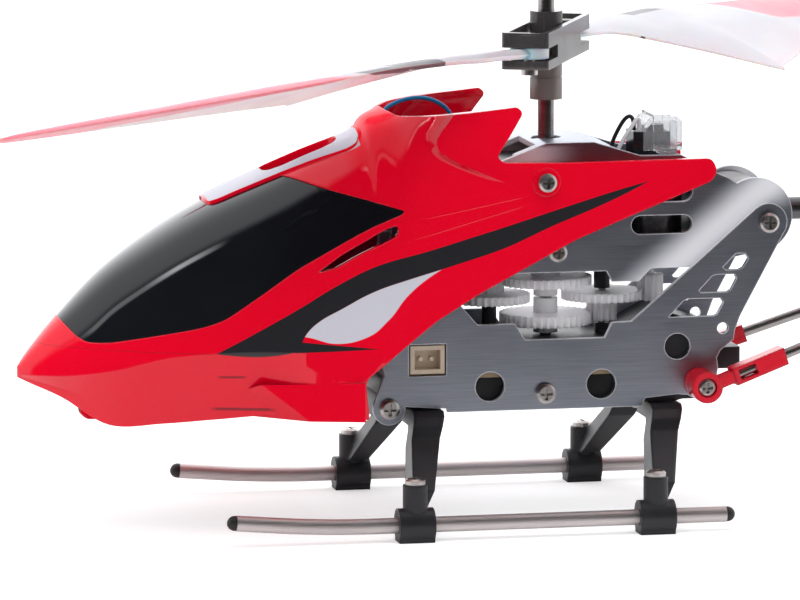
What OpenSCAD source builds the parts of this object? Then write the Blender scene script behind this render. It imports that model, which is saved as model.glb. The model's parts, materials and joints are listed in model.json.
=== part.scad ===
// Remote control helicopter with two coaxial rotors.
// Millimetres. X points to the nose, Y to the left side, Z up. The skids rest on Z 0.
// Every module is drawn with the rotor shaft on X 0, then moved by shaft_x so that the
// origin is under the middle of the whole part.

/* [Airframe] */
// From the middle of the length forward to the rotor shaft
shaft_x = 32.5; // [20:0.1:45]
// From the shaft back to the end of the tail
tail_len = 147; // [125:1:165]
// Height of the tail boom axis
boom_z = 40.2; // [36:0.2:44]
// Diameter of the tail boom
boom_d = 3; // [2:0.1:4]
// Thickness of the frame sheet
sheet = 0.8; // [0.5:0.1:1]
// From the middle out to the face of the lower plates
plate_y = 8; // [8:0.1:9]
// Clearance between neighbouring pieces
gap = 0.05; // [0.02:0.01:0.1]

/* [Canopy] */
// Wall thickness of the canopy
wall = 1; // [0.7:0.1:1.4]
// Height of the centre ridge above the shell
ridge_h = 0.4; // [0.2:0.1:1.2]
// Share of its half width that the shell leans in by at the window, from the belt to the top
lean = 0.15; // [0:0.01:0.3]
// Steps between two ribs of the shell
rib_steps = 4; // [2:1:6]

/* [Rotors] */
// Diameter that the blade tips sweep with the blades straight
rotor_d = 190; // [170:1:210]
// From the shaft to a blade screw
pin_r = 10.5; // [9:0.1:12]
// Direction of the lower grip, from the nose toward the left
lower_turn = 65; // [0:1:90]
// Fold of the front lower blade from straight
fold_a = -41; // [-70:1:70]
// Fold of the rear lower blade from straight
fold_b = -23; // [-70:1:70]
// Droop of the front lower blade
droop_a = 4.5; // [0:0.1:6]
// Droop of the rear lower blade
droop_b = 0.5; // [0:0.1:6]
// Direction of the upper grip
upper_turn = 134; // [100:1:170]
// Blade pitch
pitch = 16; // [8:0.5:20]
// Middle height of the lower blade roots
lower_z = 63.35; // [60:0.05:66]
// Height of the upper grip pivot
upper_z = 84; // [80:0.1:90]
// Height of the flybar pivot above the upper grip pivot
flybar_up = 7.5; // [6:0.1:10]
// From the shaft to a flybar end
flybar_r = 54; // [40:1:60]

/* [Gears] */
// Free play between teeth
backlash = 0.1; // [0.06:0.01:0.14]

/* [Skids] */
// Distance between the skid tube axes
skid_track = 43.2; // [38:0.2:48]
// Diameter of a skid tube
skid_d = 2.1; // [1.6:0.1:2.6]
// Height of a skid tube axis
skid_z = 2.2; // [2:0.1:2.6]

/* [Hidden] */
$fn = 48;

gear_m = 0.3; // gear module
main_teeth = 40; // main gear on each shaft
small_teeth = 12; // compound gear, small end
wheel_teeth = 35; // compound gear, large end
pinion_teeth = 10; // motor pinion
outer_r = 1.1; // outer rotor tube
outer_bore = 0.85;
inner_r = 0.8; // inner rotor shaft
blade_len = rotor_d / 2 - pin_r;
screw_r = 0.6;
head_r = 1.35;
head_h = 0.8;
blade_screw_r = 0.72;
root_h = 1.5; // blade root thickness
pin_wire = 0.5; // radius of the gear pins and head pins
compound_x = gear_m * (main_teeth + small_teeth) / 2;
motor_x = compound_x + gear_m * (wheel_teeth + pinion_teeth) / 2;
motor_r = 4.2;
deck_z = 34.2; // gear deck underside
deck_h = 3;
wheel_z = 28.6; // compound wheels
wheel_h = 1.2;
low_gear_z = 25.5; // main gear on the inner shaft
low_gear_h = 1.5;
top_gear_z = 30.8; // main gear on the outer tube
top_gear_h = 1.2;
upper_y = plate_y - sheet - gap; // outer face of the upper frame
half_in = upper_y - sheet - 0.1; // half width of what fits between its sides
half_low = plate_y - sheet - 0.1; // half width of what fits between the lower plates
rod_r = 0.7;
clip_h = 5; // thickness of a rod clip at its screw
clip_pin = [-19.4, 17.9]; // screw of a rod clip
rod_from = [clip_pin[0], plate_y + clip_h - 0.7, clip_pin[1]];
rod_to = [-82, 3.4, 39.6];
rod_step = rod_to - rod_from;
rod_len = norm(rod_step);
rod_yaw = atan2(-rod_step[1], -rod_step[0]);
rod_lift = asin(rod_step[2] / rod_len);
tail_x = 13.9 - tail_len; // tail motor axis
tail_blade = 13.7;

// Helpers for flat outlines, bars and lofted forms

// An outline in X and Z, made t thick from y0 toward the left
module side(y0, t) translate([0, y0 + t, 0]) rotate([90, 0, 0]) linear_extrude(t) children();

module both() { children(); mirror([0, 1, 0]) children(); }

module rod_y(x, y0, z, r, h) translate([x, y0, z]) rotate([-90, 0, 0]) cylinder(r = r, h = h);

module rod_x(x0, y, z, r, h) translate([x0, y, z]) rotate([0, 90, 0]) cylinder(r = r, h = h);

module box(x0, x1, y0, y1, z0, z1) translate([x0, y0, z0]) cube([x1 - x0, y1 - y0, z1 - z0]);

// A slot with round ends, in a drawing plane
module slot(x0, x1, z, h) {
  translate([x0 + h / 2, z - h / 2]) square([x1 - x0 - h, h]);
  for (x = [x0 + h / 2, x1 - h / 2]) translate([x, z]) circle(h / 2);
}

// A solid through a list of rings that have equal numbers of points
module loft(rings) {
  n = len(rings[0]);
  m = len(rings);
  polyhedron(
    points = [for (r = rings) each r],
    faces = concat(
      [for (i = [0 : m - 2], j = [0 : n - 1]) [i * n + j, (i + 1) * n + j, i * n + (j + 1) % n]],
      [for (i = [0 : m - 2], j = [0 : n - 1])
        [(i + 1) * n + j, (i + 1) * n + (j + 1) % n, i * n + (j + 1) % n]],
      [for (j = [1 : n - 2]) [0, j, j + 1]],
      [for (j = [1 : n - 2]) [(m - 1) * n, (m - 1) * n + j + 1, (m - 1) * n + j]]));
}

// A smooth value between p1 and p2, for t from 0 to 1
function smooth(p0, p1, p2, p3, t) =
  0.5 * (2 * p1 + (p2 - p0) * t + (2 * p0 - 5 * p1 + 4 * p2 - p3) * t * t
  + (3 * p1 - p0 - 3 * p2 + p3) * t * t * t);

function at(list, i) = list[max(0, min(len(list) - 1, i))];

function along(list, s) = let (k = min(floor(s), len(list) - 2))
  smooth(at(list, k - 1), at(list, k), at(list, k + 1), at(list, k + 2), s - k);

function unit(v) = v / norm(v);

// A round wire with eight sides through route points
module wire(route, r, steps = 3) {
  n = (len(route) - 1) * steps;
  line = [for (i = [0 : n]) along(route, i / steps)];
  loft([for (i = [0 : n])
    let (d = unit(line[min(n, i + 1)] - line[max(0, i - 1)]),
      e = unit(cross(d, [0, 1, 0.02])), f = cross(d, e))
    [for (a = [0 : 45 : 315]) line[i] + r * (cos(a) * e - sin(a) * f)]]);
}

// Gears with plain involute flanks

function inv(a) = tan(a) * 180 / PI - a;

// Half the angle of a tooth at radius q
function tooth_half(teeth, q) = let (r = gear_m * teeth / 2, rb = r * cos(20))
  90 / teeth - backlash / 2 / r * 180 / PI + inv(20) - inv(acos(min(1, rb / max(q, rb))));

module gear(teeth, h, turn = 0) {
  r = gear_m * teeth / 2;
  root = r - 1.25 * gear_m;
  flank = max(root + 0.02, r * cos(20));
  tip = r + 0.9 * gear_m;
  q = [root, flank, (flank + tip) / 2, tip];
  rotate(turn) linear_extrude(h) polygon([for (i = [0 : teeth - 1]) each concat(
    [for (k = [0 : 3]) let (a = i * 360 / teeth - tooth_half(teeth, q[k])) q[k] * [cos(a), sin(a)]],
    [for (k = [3 : -1 : 0]) let (a = i * 360 / teeth + tooth_half(teeth, q[k]))
      q[k] * [cos(a), sin(a)]])]);
}

// The canopy shell and its window

// Each rib of the shell: x, top, half width at the belt, belt height, squareness,
// half width of the bottom, height of the bottom
ribs = [
  [72.2, 21.8, 0.6, 20.8, 2, 0.3, 20.3],
  [70.6, 24.1, 3, 20.9, 2, 1.6, 19.6],
  [66.7, 28.7, 6.6, 21.2, 2, 4, 17.9],
  [61, 34.5, 10.8, 22.3, 2.1, 7.4, 14.6],
  [54, 39.6, 14.2, 24.3, 2.2, 9.6, 14.9],
  [47, 43.6, 16.6, 25.1, 2.2, 11.8, 15.6],
  [40, 46.7, 17.4, 25.2, 2.2, 14.4, 16.3],
  [33.5, 49.5, 17.2, 24.8, 2.1, 16.2, 15.7],
  [27, 52, 16.5, 24, 2.1, 15.8, 15.5],
  [25.2, 54.2, 16.3, 22.9, 2.2, 14.1, 15],
  [22.8, 55.3, 15.9, 22.6, 2.8, 14, 15],
  [19.5, 56.9, 15.4, 22.6, 4.6, 14, 15],
  [13, 58.2, 14.4, 22.6, 8, 13.6, 15],
  [5, 58.8, 13.4, 22.6, 8, 12.8, 15],
  [-7, 59, 12, 22.6, 8, 11, 15],
  [-24, 59, 10.2, 22.6, 8, 9, 15]];

// One ring of the shell, inset from the outside. Below the belt it has one crease, which falls
// from the nose back to the bottom edge
function ring(s, inset, arc) = let (r = along(ribs, s), t = r[1] - inset, b = r[2] - inset,
    zb = r[3], e = 2 / r[4], yl = max(0.1, r[5] - inset), zl = r[6] + inset,
    keel = max(0.05, min(0.4, (r[0] - 46) / 40)), tip = lean * max(0, min(1, (r[0] - 8) / 20)),
    half = concat(
      [for (a = [0 : arc : 90]) let (up = pow(cos(a), e))
        [b * pow(sin(a), e) * (1 - tip * up), zb + (t - zb) * up]],
      [[yl + keel / 2 * (b - yl), zl + keel * (zb - zl)], [yl, zl]]))
  concat([for (p = half) [r[0], p[0], p[1]]],
    [for (i = [len(half) - 1 : -1 : 1]) [r[0], -half[i][0], half[i][1]]]);

module form(inset, from = 0, arc = 7.5, steps = rib_steps)
  loft([for (i = [from * steps : (len(ribs) - 1) * steps]) ring(i / steps, inset, arc)]);

// What the shell keeps, seen from the side
canopy_side = [[27.8, 10], [27.5, 16.2], [28.1, 20.8], [22.1, 25.4], [18, 28.4], [12, 31.8],
  [-1.3, 38.4], [-11.7, 42.3], [-20.3, 45.5], [-21, 46.3], [-21.1, 47.4], [-20.4, 48.6], [1, 48.75],
  [8.8, 49.1], [9.5, 49.7], [9.5, 50.2], [6.1, 55.3], [6.1, 55.8], [6.7, 56.35], [20, 55.1],
  [22.4, 54.8], [24, 60], [76, 60], [76, 10]];

// The window, seen from the side
window_side = [[22.2, 43], [32, 45.6], [36, 46.9], [38.5, 47.2], [40, 60], [70, 60], [67.4, 29],
  [65.2, 26.5], [64, 25.8], [61.5, 25.9], [50, 28.3], [47, 29.3], [37, 35.7], [30, 39.1], [22.6, 42.5]];

// The ridge over the window, seen from above
ridge_plan = [[26.3, -3], [26.9, -4.5], [28, -4.75], [38, -4.5], [45.5, -4.1], [46.8, -3.6], [47.2, -2.2],
  [47.2, 2.2], [46.8, 3.6], [45.5, 4.1], [38, 4.5], [28, 4.75], [26.9, 4.5], [26.3, 3]];
// Its slot, from above
ridge_slot = [[29, -1.4], [29.8, -2.3], [31.5, -2.7], [37, -2.9], [38.6, -2.4], [39.2, -1.4], [39.2, 1.4],
  [38.6, 2.4], [37, 2.9], [31.5, 2.7], [29.8, 2.3], [29, 1.4]];

// The open intake between the two ears, seen from above
intake_plan = [[22.7, -2.5], [22.1, -5.8], [20, -9.2], [17, -10.7], [4, -11.5], [-30, -8.3],
  [-30, 8.3], [4, 11.5], [17, 10.7], [20, 9.2], [22.1, 5.8], [22.7, 2.5]];

// The vent behind the window, seen from the side
vent_side = [[34.3, 35.2], [30.8, 37.4], [27.1, 39.2], [24.4, 40.7], [23.1, 41.1], [23.1, 39.8],
  [25.3, 38.6], [28.8, 37.1], [31.7, 35.7]];

// The step along the bottom edge: x, distance from the middle, z
sill = [[28.2, 17.2, 15.4], [28.2, 16.8, 20.6], [42.2, 16.6, 20.8], [35.8, 16.9, 15.7]];
sill_root = [[28.2, 12, 15.4], [28.2, 12, 20.6], [46, 12, 19], [42.5, 12, 15.9]];

canopy_pin = [2.9, 46.3];

module canopy() color("red") resize([0, 0, 0]) difference() {
  union() {
    difference() {
      intersection() {
        form(0);
        side(-25, 50) polygon(canopy_side);
      }
      form(wall, 2, 15, 2);
      side(-25, 50) polygon(window_side);
      translate([0, 0, 48]) linear_extrude(20) polygon(intake_plan);
      side(-25, 50) polygon(vent_side);
    }
    intersection() {
      difference() {
        form(-ridge_h);
        form(wall, 2, 15, 2);
      }
      translate([0, 0, 30]) linear_extrude(30) polygon(ridge_plan);
    }
    both() loft([sill_root, sill]);
    both() rod_y(canopy_pin[0], upper_y + gap, canopy_pin[1], 1.8, 5.8);
    both() rod_y(canopy_pin[0], 12.4, canopy_pin[1], 1.9, 1.1);
    side(-0.8, 1.6) difference() {
      polygon([[60, 15], [61, 14.4], [63, 14.4], [63.9, 15.2], [63.9, 19], [60, 19]]);
      translate([62.5, 15.9]) circle(0.7);
    }
  }
  translate([0, 0, 30]) linear_extrude(40) polygon(ridge_slot);
  both() rod_y(canopy_pin[0], 5, canopy_pin[1], screw_r + gap, 20);
}

module windshield() color("black") resize([0, 0, 0]) difference() {
  intersection() {
    form(0.08);
    side(-25, 50) offset(delta = -0.1) polygon(window_side);
  }
  form(wall, 1.5, 15, 2);
  translate([0, 0, 30]) linear_extrude(30) offset(delta = 0.15) polygon(ridge_plan);
}

// The metal frame

module upper_outline() difference() {
  union() {
    polygon([[20, deck_z - 0.9], [20, 46.5], [9, 48], [5.7, 49.2], [1.5, 50.8], [-5, 50.8], [-11.5, 48.8],
      [-17, 48.8], [-22.4, 46], [-23.4, 45.6], [-25, 44.6], [-27.4, 45.1], [-27.4, 35.3], [-18.1, 33.5],
      [-12.9, 33.5], [-11.3, 31.8], [-7.6, 31.8], [-6.8, 33.3]]);
    translate([-27.4, 40.3]) circle(5.1);
  }
  slot(-18.6, -10.2, 39.4, 2.5);
  slot(-18.6, -10.2, 43.7, 2.5);
  for (p = upper_screws) translate(p) circle(screw_r + gap);
}

upper_screws = [[0, 36], [-29, 39.4], [18.5, 35.6], canopy_pin];

module upper_frame() color("silver") {
  both() side(upper_y - sheet, sheet) upper_outline();
  difference() {
    side(-upper_y, 2 * upper_y) polygon([[5.7, 49.2], [1.5, 50.8], [-5, 50.8], [-8.2, 49.8],
      [-8.2, 49], [-5.1, 50], [1.6, 50], [5.9, 48.4]]);
    translate([0, 0, 45]) cylinder(r = 2, h = 10);
    box(2.6, 10, -5, 5, 45, 55);
  }
}

lower_screws = [[23.2, 15.6], [1.8, 17.1], [-29, 39.4], [18.5, 35.6]];

module lower_outline() difference() {
  union() {
    polygon([[15.2, 14.9], [15.3, 15.4], [21.6, 15.9], [23.2, 15.6], [25.2, 16.4], [24.9, 17.3],
      [23.7, 20.2], [24, 21.2], [22.8, 25], [21.5, 37.6], [16, 37.6], [14.9, 31.5], [13.5, 29.4],
      [11.1, 26.6], [6, 26.6], [4.6, 24.4], [-6.4, 24.4], [-7.4, 26.4], [-10.1, 26.5], [-17.3, 32.7],
      [-27.3, 41.4], [-29, 39.4], [-31.2, 38.1], [-25.1, 26.8], [-24.4, 24.9], [-24.2, 23.6],
      [-22.4, 22.2], [-21.9, 21.2], [-22.1, 19.9], [-21.8, 18], [-20.4, 17.2], [-18.5, 16.2],
      [-16.3, 16.4], [-12, 16], [-11.6, 14.9]]);
    translate([-29, 39.4]) circle(2.6);
    translate([23.2, 15.6]) circle(2.2);
    translate(clip_pin) circle(2.2);
  }
  for (p = lower_screws) translate(p) circle(screw_r + gap);
  translate(clip_pin) circle(screw_r + gap);
  translate([9.4, 18.2]) circle(2);
  translate([-5.9, 18.1]) circle(2);
  translate([-16.4, 22.9]) circle(1.75);
  translate([-22.7, 25.2]) circle(0.75);
  translate([15.4, 19.9]) square([5.1, 4.3]);
  polygon([[-22.7, 33.5], [-24.5, 35.3], [-25.8, 35.3], [-26.2, 34.6], [-25.5, 33.4], [-24.9, 33.1],
    [-23.1, 33.1]]);
  polygon([[-19.4, 30.4], [-21.2, 32.3], [-21.8, 32.5], [-24.3, 32.5], [-24.6, 31.9], [-23.8, 30.4],
    [-23.3, 30.1], [-19.7, 30.1]]);
  polygon([[-15.2, 26.9], [-17.2, 29], [-17.8, 29.3], [-22.4, 29.3], [-22.8, 28.7], [-21.9, 27.1],
    [-21.5, 26.9]]);
}

module lower_plate_left() color("silver") side(plate_y - sheet, sheet) lower_outline();
module lower_plate_right() color("silver") mirror([0, 1, 0]) lower_plate_left();

// The plastic frame and what it holds

module gear_deck() color([0.12, 0.12, 0.13]) difference() {
  union() {
    box(-20.6, 20, -half_in, half_in, deck_z, deck_z + deck_h);
    for (x = [-9.8, 8.2]) box(x, x + 1.6, -half_in, half_in, deck_z, 48.2);
    box(-9.8, 9.8, -half_in, half_in, 47.2, 48.2);
    box(-22, -19.4, -half_in, half_in, deck_z, 44);
    rod_y(-26.8, -half_in, 40.3, 4.6, 2 * half_in);
    translate([-compound_x, 0, wheel_z + wheel_h + 0.3])
      cylinder(r = 1.1, h = deck_z - wheel_z - wheel_h);
    translate([compound_x, 0, 32.7]) cylinder(r = 1.1, h = 2);
  }
  translate([0, 0, 30]) cylinder(r = outer_r + 0.05, h = 25);
  for (s = [-1, 1]) {
    translate([s * compound_x, 0, 28]) cylinder(r = pin_wire + 0.02, h = 8);
    translate([s * motor_x, 0, 30]) cylinder(r = 1.2, h = 10);
  }
  rod_x(-40, 0, boom_z, boom_d / 2 + 0.03, 17);
  both() for (p = upper_screws) rod_y(p[0], 3, p[1], screw_r + gap, 10);
}

module lower_tray() color([0.12, 0.12, 0.13]) difference() {
  union() {
    side(-half_low, 2 * half_low) polygon([[14, 20.2], [14, 24], [-9.5, 24], [-11, 25], [-15.5, 27.4],
      [-22, 25.2], [-22, 15.6], [-17.4, 15.6], [-16.5, 15.4], [-11.7, 15.4], [-11.7, 20.2]]);
    box(-25.6, -21, -6, 6, 19.4, 22.3);
    box(13, 22, -2.6, 2.6, 20.2, 24);
    box(21.3, 22.6, -half_low, half_low, 16, 24);
    side(-half_low, 2 * half_low) polygon([[15.6, 15.4], [21.6, 15.4], [24.8, 14.2], [24.8, 17.6],
      [22.6, 19.2], [15.6, 19.2]]);
    translate([-compound_x, 0, 23.5]) cylinder(r = 1, h = 1.8);
    translate([compound_x, 0, 23.5]) cylinder(r = 1, h = 4.8);
  }
  translate([0, 0, 20.6]) cylinder(r = inner_r + 0.05, h = 10);
  for (s = [-1, 1]) translate([s * compound_x, 0, 22]) cylinder(r = pin_wire + 0.02, h = 10);
  both() rod_y(23.2, 4, 15.6, screw_r + gap, 10);
  both() rod_y(clip_pin[0], 4.5, clip_pin[1] + 0.01, screw_r + gap, 10);
  for (x = [18.4, -14.3], y = [-5.5, 5.5]) translate([x, y, 10]) cylinder(r = 0.5 + gap, h = 7);
}

module battery() color([0.08, 0.08, 0.09]) box(-11.4, 13.8, -6.5, 6.5, 15.2, 19.2);

module circuit_board() color("tan") box(-11.4, 21, -6.9, 6.9, 19.3, 20.1);

module charge_socket() color("beige") {
  difference() {
    box(15.6, 20.3, 3.2, plate_y - 0.1, 20.2, 24);
    box(16.2, 19.7, 6, 20, 20.8, 23.4);
  }
  for (x = [17.2, 18.7]) rod_y(x, 5.9, 22.1, 0.3, 1.2);
}

module power_switch() color([0.1, 0.1, 0.1]) difference() {
  box(15.6, 20.3, 0.1 - plate_y, -3.2, 20.2, 24);
  box(16, 19.9, -20, -6.2, 21.1, 23.1);
}

module switch_slider() color([0.3, 0.3, 0.3]) box(16.1, 17.8, -9.2, -6.3, 21.2, 23);

// Motors, gears and shafts

module motor() color("silver") {
  translate([0, 0, deck_z + deck_h + gap]) cylinder(r = motor_r, h = 9.6);
  translate([0, 0, deck_z + deck_h + 9.6]) cylinder(r = 2, h = 0.9);
}

module front_motor() translate([motor_x, 0, 0]) motor();
module rear_motor() translate([-motor_x, 0, 0]) motor();

module gear_pins() color("silver") for (s = [-1, 1])
  translate([s * compound_x, 0, 22.1]) cylinder(r = pin_wire, h = 13.5);

// The compound gear, with its small end above or below the wheel
module compound(small_z, small_h) color("white") difference() {
  union() {
    translate([0, 0, wheel_z]) gear(wheel_teeth, wheel_h);
    translate([0, 0, small_z]) gear(small_teeth, small_h, 180 / small_teeth);
  }
  translate([0, 0, 20]) cylinder(r = pin_wire + 0.05, h = 20);
}

module front_compound() translate([compound_x, 0, 0]) compound(wheel_z + wheel_h - 0.1, 2.6);
module rear_compound() translate([-compound_x, 0, 0]) rotate(180) compound(25.7, wheel_z - 25.6);

module pinion() color("white") {
  translate([0, 0, 28.2]) gear(pinion_teeth, 3.6, 180 / pinion_teeth);
  translate([0, 0, 31]) cylinder(r = 0.4, h = deck_z + deck_h - 31);
}

module front_pinion() translate([motor_x, 0, 0]) rotate(180) pinion();
module rear_pinion() translate([-motor_x, 0, 0]) pinion();

module upper_main_gear() color("white") difference() {
  union() {
    translate([0, 0, top_gear_z]) gear(main_teeth, top_gear_h);
    translate([0, 0, 29.3]) cylinder(r = 1.65, h = 2);
    translate([0, 0, top_gear_z]) cylinder(r = 2, h = 2.9);
  }
  translate([0, 0, 20]) cylinder(r = outer_r + 0.02, h = 20);
}

module lower_main_gear() color("white") difference() {
  union() {
    translate([0, 0, low_gear_z]) gear(main_teeth, low_gear_h);
    translate([0, 0, 24.3]) cylinder(r = 1.65, h = 4.7);
  }
  translate([0, 0, 20]) cylinder(r = inner_r + 0.02, h = 20);
}

module outer_shaft() color("silver") translate([0, 0, 29.3]) difference() {
  cylinder(r = outer_r, h = 46.7);
  translate([0, 0, -1]) cylinder(r = outer_bore, h = 50);
}

module inner_shaft() color("silver") translate([0, 0, 20.7])
  cylinder(r = inner_r, h = upper_z + flybar_up - 20.7);

// Rotor grips, blades and the head

// Places something at the blade screw of one end of a grip
module at_pin(turn, z, end) rotate(turn + 180 * end) translate([pin_r, 0, z]) children();

// A plate with round corners, x and y from its middle
module pad(x, y, r, h) linear_extrude(h) {
  square([2 * x - 2 * r, 2 * y], center = true);
  square([2 * x, 2 * y - 2 * r], center = true);
  for (u = [r - x, x - r], v = [r - y, y - r]) translate([u, v]) circle(r);
}

// Bars that hold a blade root: a tray above the root and a tongue below it
module grip_bars() difference() {
  union() {
    translate([0, 0, 0.85]) difference() {
      pad(13.6, 3.2, 0.6, 2);
      translate([0, 0, 0.6]) pad(12.8, 2.4, 0.4, 3);
    }
    box(-5.2, 5.2, -3.2, 3.2, -2.05, 1.4);
    both() box(-7.4, 7.4, 2.4, 3.2, -2.05, 1.4);
    translate([0, 0, -2.05]) pad(13.6, 3.2, 0.6, 1.2);
  }
  for (u = [-pin_r, pin_r]) translate([u, 0, -5]) cylinder(r = blade_screw_r + 0.02, h = 10);
}

module lower_grip() color([0.2, 0.19, 0.19]) difference() {
  union() {
    rotate(lower_turn) translate([0, 0, lower_z]) grip_bars();
    translate([0, 0, 56]) cylinder(r = 2.2, h = 2.9);
    translate([0, 0, 56]) cylinder(r = 2.1, h = 11.9);
    translate([0, 0, 59.1]) cylinder(r = 2.2, h = 8.8);
  }
  translate([0, 0, 50]) cylinder(r = outer_r + 0.02, h = 20);
}

module blade_screws(turn, z) color("silver") for (end = [0, 1]) at_pin(turn, z, end) {
  translate([0, 0, -2.9]) cylinder(r = blade_screw_r, h = 4.5);
  translate([0, 0, 1.47]) cylinder(r = 1.3, h = 0.8);
  translate([0, 0, -3]) cylinder(r = 1.1, h = 0.9);
}

module lower_blade_screws() blade_screws(lower_turn, lower_z);
module upper_blade_screws() blade_screws(upper_turn, upper_z);

// Each station of a blade: span, leading edge, trailing edge, pitch share, thickness
blade_stations = [[4.4, 2.1, 2.1, 0, 1.4], [9, 2.6, 2.6, 0.3, 1.4], [14, 4, 7, 0.75, 1.3],
  [25, 5, 18.8, 1, 1.2], [28.5, 4.8, 18.2, 1, 1.2], [45, 3.8, 12.6, 1, 1.1], [65, 3.4, 7, 1, 0.9],
  [80, 3.4, 2.6, 1, 0.7], [blade_len, 2.2, 0.2, 1, 0.5]];

// The blade section: share of the chord from the leading edge, share of the half thickness
section = [[0.08, 0.8], [0.25, 1], [0.55, 0.8], [1, 0.24]];

// One ring of a blade: the top from the leading edge back, then the underside forward
function blade_ring(b, droop) = let (chord = b[1] + b[2], a = pitch * b[3], out = max(0, b[0] - 6),
    line = [for (p = concat([[0, 0]], section, [for (i = [3 : -1 : 0]) [section[i][0], -section[i][1]]]))
      [b[1] - chord * p[0], b[4] / 2 * p[1] + 0.16 * chord * b[3] * p[0] * (1 - p[0])]])
  [for (p = line)
    [b[0], p[0] * cos(a) - p[1] * sin(a), p[0] * sin(a) + p[1] * cos(a) - out * tan(droop)]];

// A blade with its screw at the origin and its span along X
module blade(droop) color("white") difference() {
  union() {
    cylinder(r = 2.6, h = root_h, center = true);
    box(0, 5.4, -2.2, 2.2, -root_h / 2, root_h / 2);
    loft([for (b = blade_stations) blade_ring(b, droop)]);
  }
  translate([0, 0, -2]) cylinder(r = 0.8, h = 4);
}

module lower_blade_a() at_pin(lower_turn, lower_z, 0) rotate(fold_a) blade(droop_a);
module lower_blade_b() at_pin(lower_turn, lower_z, 1) rotate(fold_b) blade(droop_b);
module upper_blade_a() at_pin(upper_turn, upper_z, 0) mirror([0, 1, 0]) blade(1);
module upper_blade_b() at_pin(upper_turn, upper_z, 1) mirror([0, 1, 0]) blade(1);

// The hub carries the pivots of the upper grip and of the flybar
module rotor_hub() color([0.12, 0.12, 0.13]) difference() {
  union() {
    translate([0, 0, upper_z - 4.5]) cylinder(r = 1.9, h = flybar_up + 6.5);
    rotate(upper_turn) {
      rod_x(-5.1, 0, upper_z, pin_wire + 0.2, 10.2);
      rod_x(-4.1, 0, upper_z + flybar_up, pin_wire, 8.2);
    }
  }
  translate([0, 0, upper_z - 10]) cylinder(r = inner_r + 0.02, h = flybar_up + 10.1);
}

link_u = 5.2; // along the grip, from the shaft to a link
link_v = 5.4; // across the grip, from the shaft to a link

// An arm with a pin, for one link
module link_arm(h) {
  box(3.4, 4.2, 0.5, link_v + 1, -h / 2, h / 2);
  rod_x(3.4, link_v, 0, pin_wire, 2.6);
}

module upper_grip() color([0.2, 0.19, 0.19]) rotate(upper_turn) translate([0, 0, upper_z]) difference() {
  union() {
    grip_bars();
    for (t = [0, 180]) rotate(t) link_arm(1.8);
  }
  box(-3.4, 3.4, -2.5, 2.5, -5, 5);
  rod_x(-10, 0, 0, pin_wire + 0.25, 20);
}

// A bar with a weight at each end, on a frame round the hub
module flybar() color([0.12, 0.12, 0.13]) rotate(upper_turn) translate([0, 0, upper_z + flybar_up])
  difference() {
    union() {
      box(-4.2, 4.2, -3.6, 3.6, -1.1, 1.1);
      for (t = [0, 180]) rotate(t) {
        link_arm(1.8);
        rod_y(0, 3.4, 0, 0.6, flybar_r - 5);
        rod_y(0, flybar_r - 7, 0, 1.9, 5.5);
        translate([0, flybar_r - 1.5, 0]) rotate([-90, 0, 0]) cylinder(r1 = 1.9, r2 = 1.1, h = 1.5);
      }
    }
    box(-3.2, 3.2, -2.6, 2.6, -5, 5);
    rod_x(-10, 0, 0, pin_wire + 0.05, 20);
  }

module rotor_link(t) color([0.12, 0.12, 0.13]) rotate(upper_turn + t)
  translate([link_u - 0.6, link_v, upper_z])
  difference() {
    union() {
      box(0, 1.2, -0.6, 0.6, 0, flybar_up);
      for (z = [0, flybar_up]) rod_x(0, 0, z, 1.1, 1.2);
    }
    for (z = [0, flybar_up]) rod_x(-1, 0, z, pin_wire + 0.05, 4);
  }

module rotor_link_a() rotor_link(0);
module rotor_link_b() rotor_link(180);

// Legs and skids

leg_x = [22.5, -10.2]; // front and rear clamps
leg_y = skid_track / 2;

module leg(x) color([0.12, 0.12, 0.13]) translate([x, 0, 0]) difference() {
  union() {
    intersection() {
      side(0, 30) polygon([[-6.5, 15.3], [-2.4, 15.3], [-1.8, 13.4], [0.9, 4], [-1.6, 4], [-5.4, 12.4]]);
      translate([-10, 0, 0]) rotate([90, 0, 90]) linear_extrude(20)
        polygon([[3, 15.3], [9.2, 15.3], [10.6, 14.8], [11.6, 13.7], [12.4, 12.2], [21, 6.6], [21, 4],
          [18.6, 4.4], [10.2, 10.8], [9, 12.8], [8.2, 13.4], [3, 13.4]]);
    }
    translate([0, leg_y, 3]) cylinder(r = 1.65, h = 4.6);
    rod_x(-2.4, leg_y, skid_z, 2.3, 4.8);
    box(-2.4, 2.4, leg_y - 1.6, leg_y + 1.6, 0, skid_z);
  }
  box(-5, 5, 0, 30, -2, 0);
  rod_x(-5, leg_y, skid_z, skid_d / 2 + 0.02, 10);
  translate([0, leg_y, 4.6]) cylinder(r = screw_r + gap, h = 10);
  translate([-4.1, 5.5, 10]) cylinder(r = 0.5 + gap, h = 10);
}

module leg_front_left() leg(leg_x[0]);
module leg_front_right() mirror([0, 1, 0]) leg(leg_x[0]);
module leg_rear_left() leg(leg_x[1]);
module leg_rear_right() mirror([0, 1, 0]) leg(leg_x[1]);

bend_at = [34.6, leg_y, skid_z]; // where the skid tubes turn up
bend = 5;
skid_front = 12; // length of the end after the bend
skid_back = -19.8;

// Two straight lengths that meet on a mitre
module skid_tube() color("silver") {
  difference() {
    rod_x(skid_back, leg_y, skid_z, skid_d / 2, bend_at[0] - skid_back + 2);
    translate(bend_at) rotate([0, -bend / 2, 0]) box(0, 20, -5, 5, -5, 5);
  }
  translate(bend_at) rotate([0, -bend, 0]) difference() {
    rod_x(-2, 0, 0, skid_d / 2, skid_front + 2);
    rotate([0, bend / 2, 0]) box(-20, 0, -5, 5, -5, 5);
  }
}

module skid_tube_left() skid_tube();
module skid_tube_right() mirror([0, 1, 0]) skid_tube();

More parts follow.
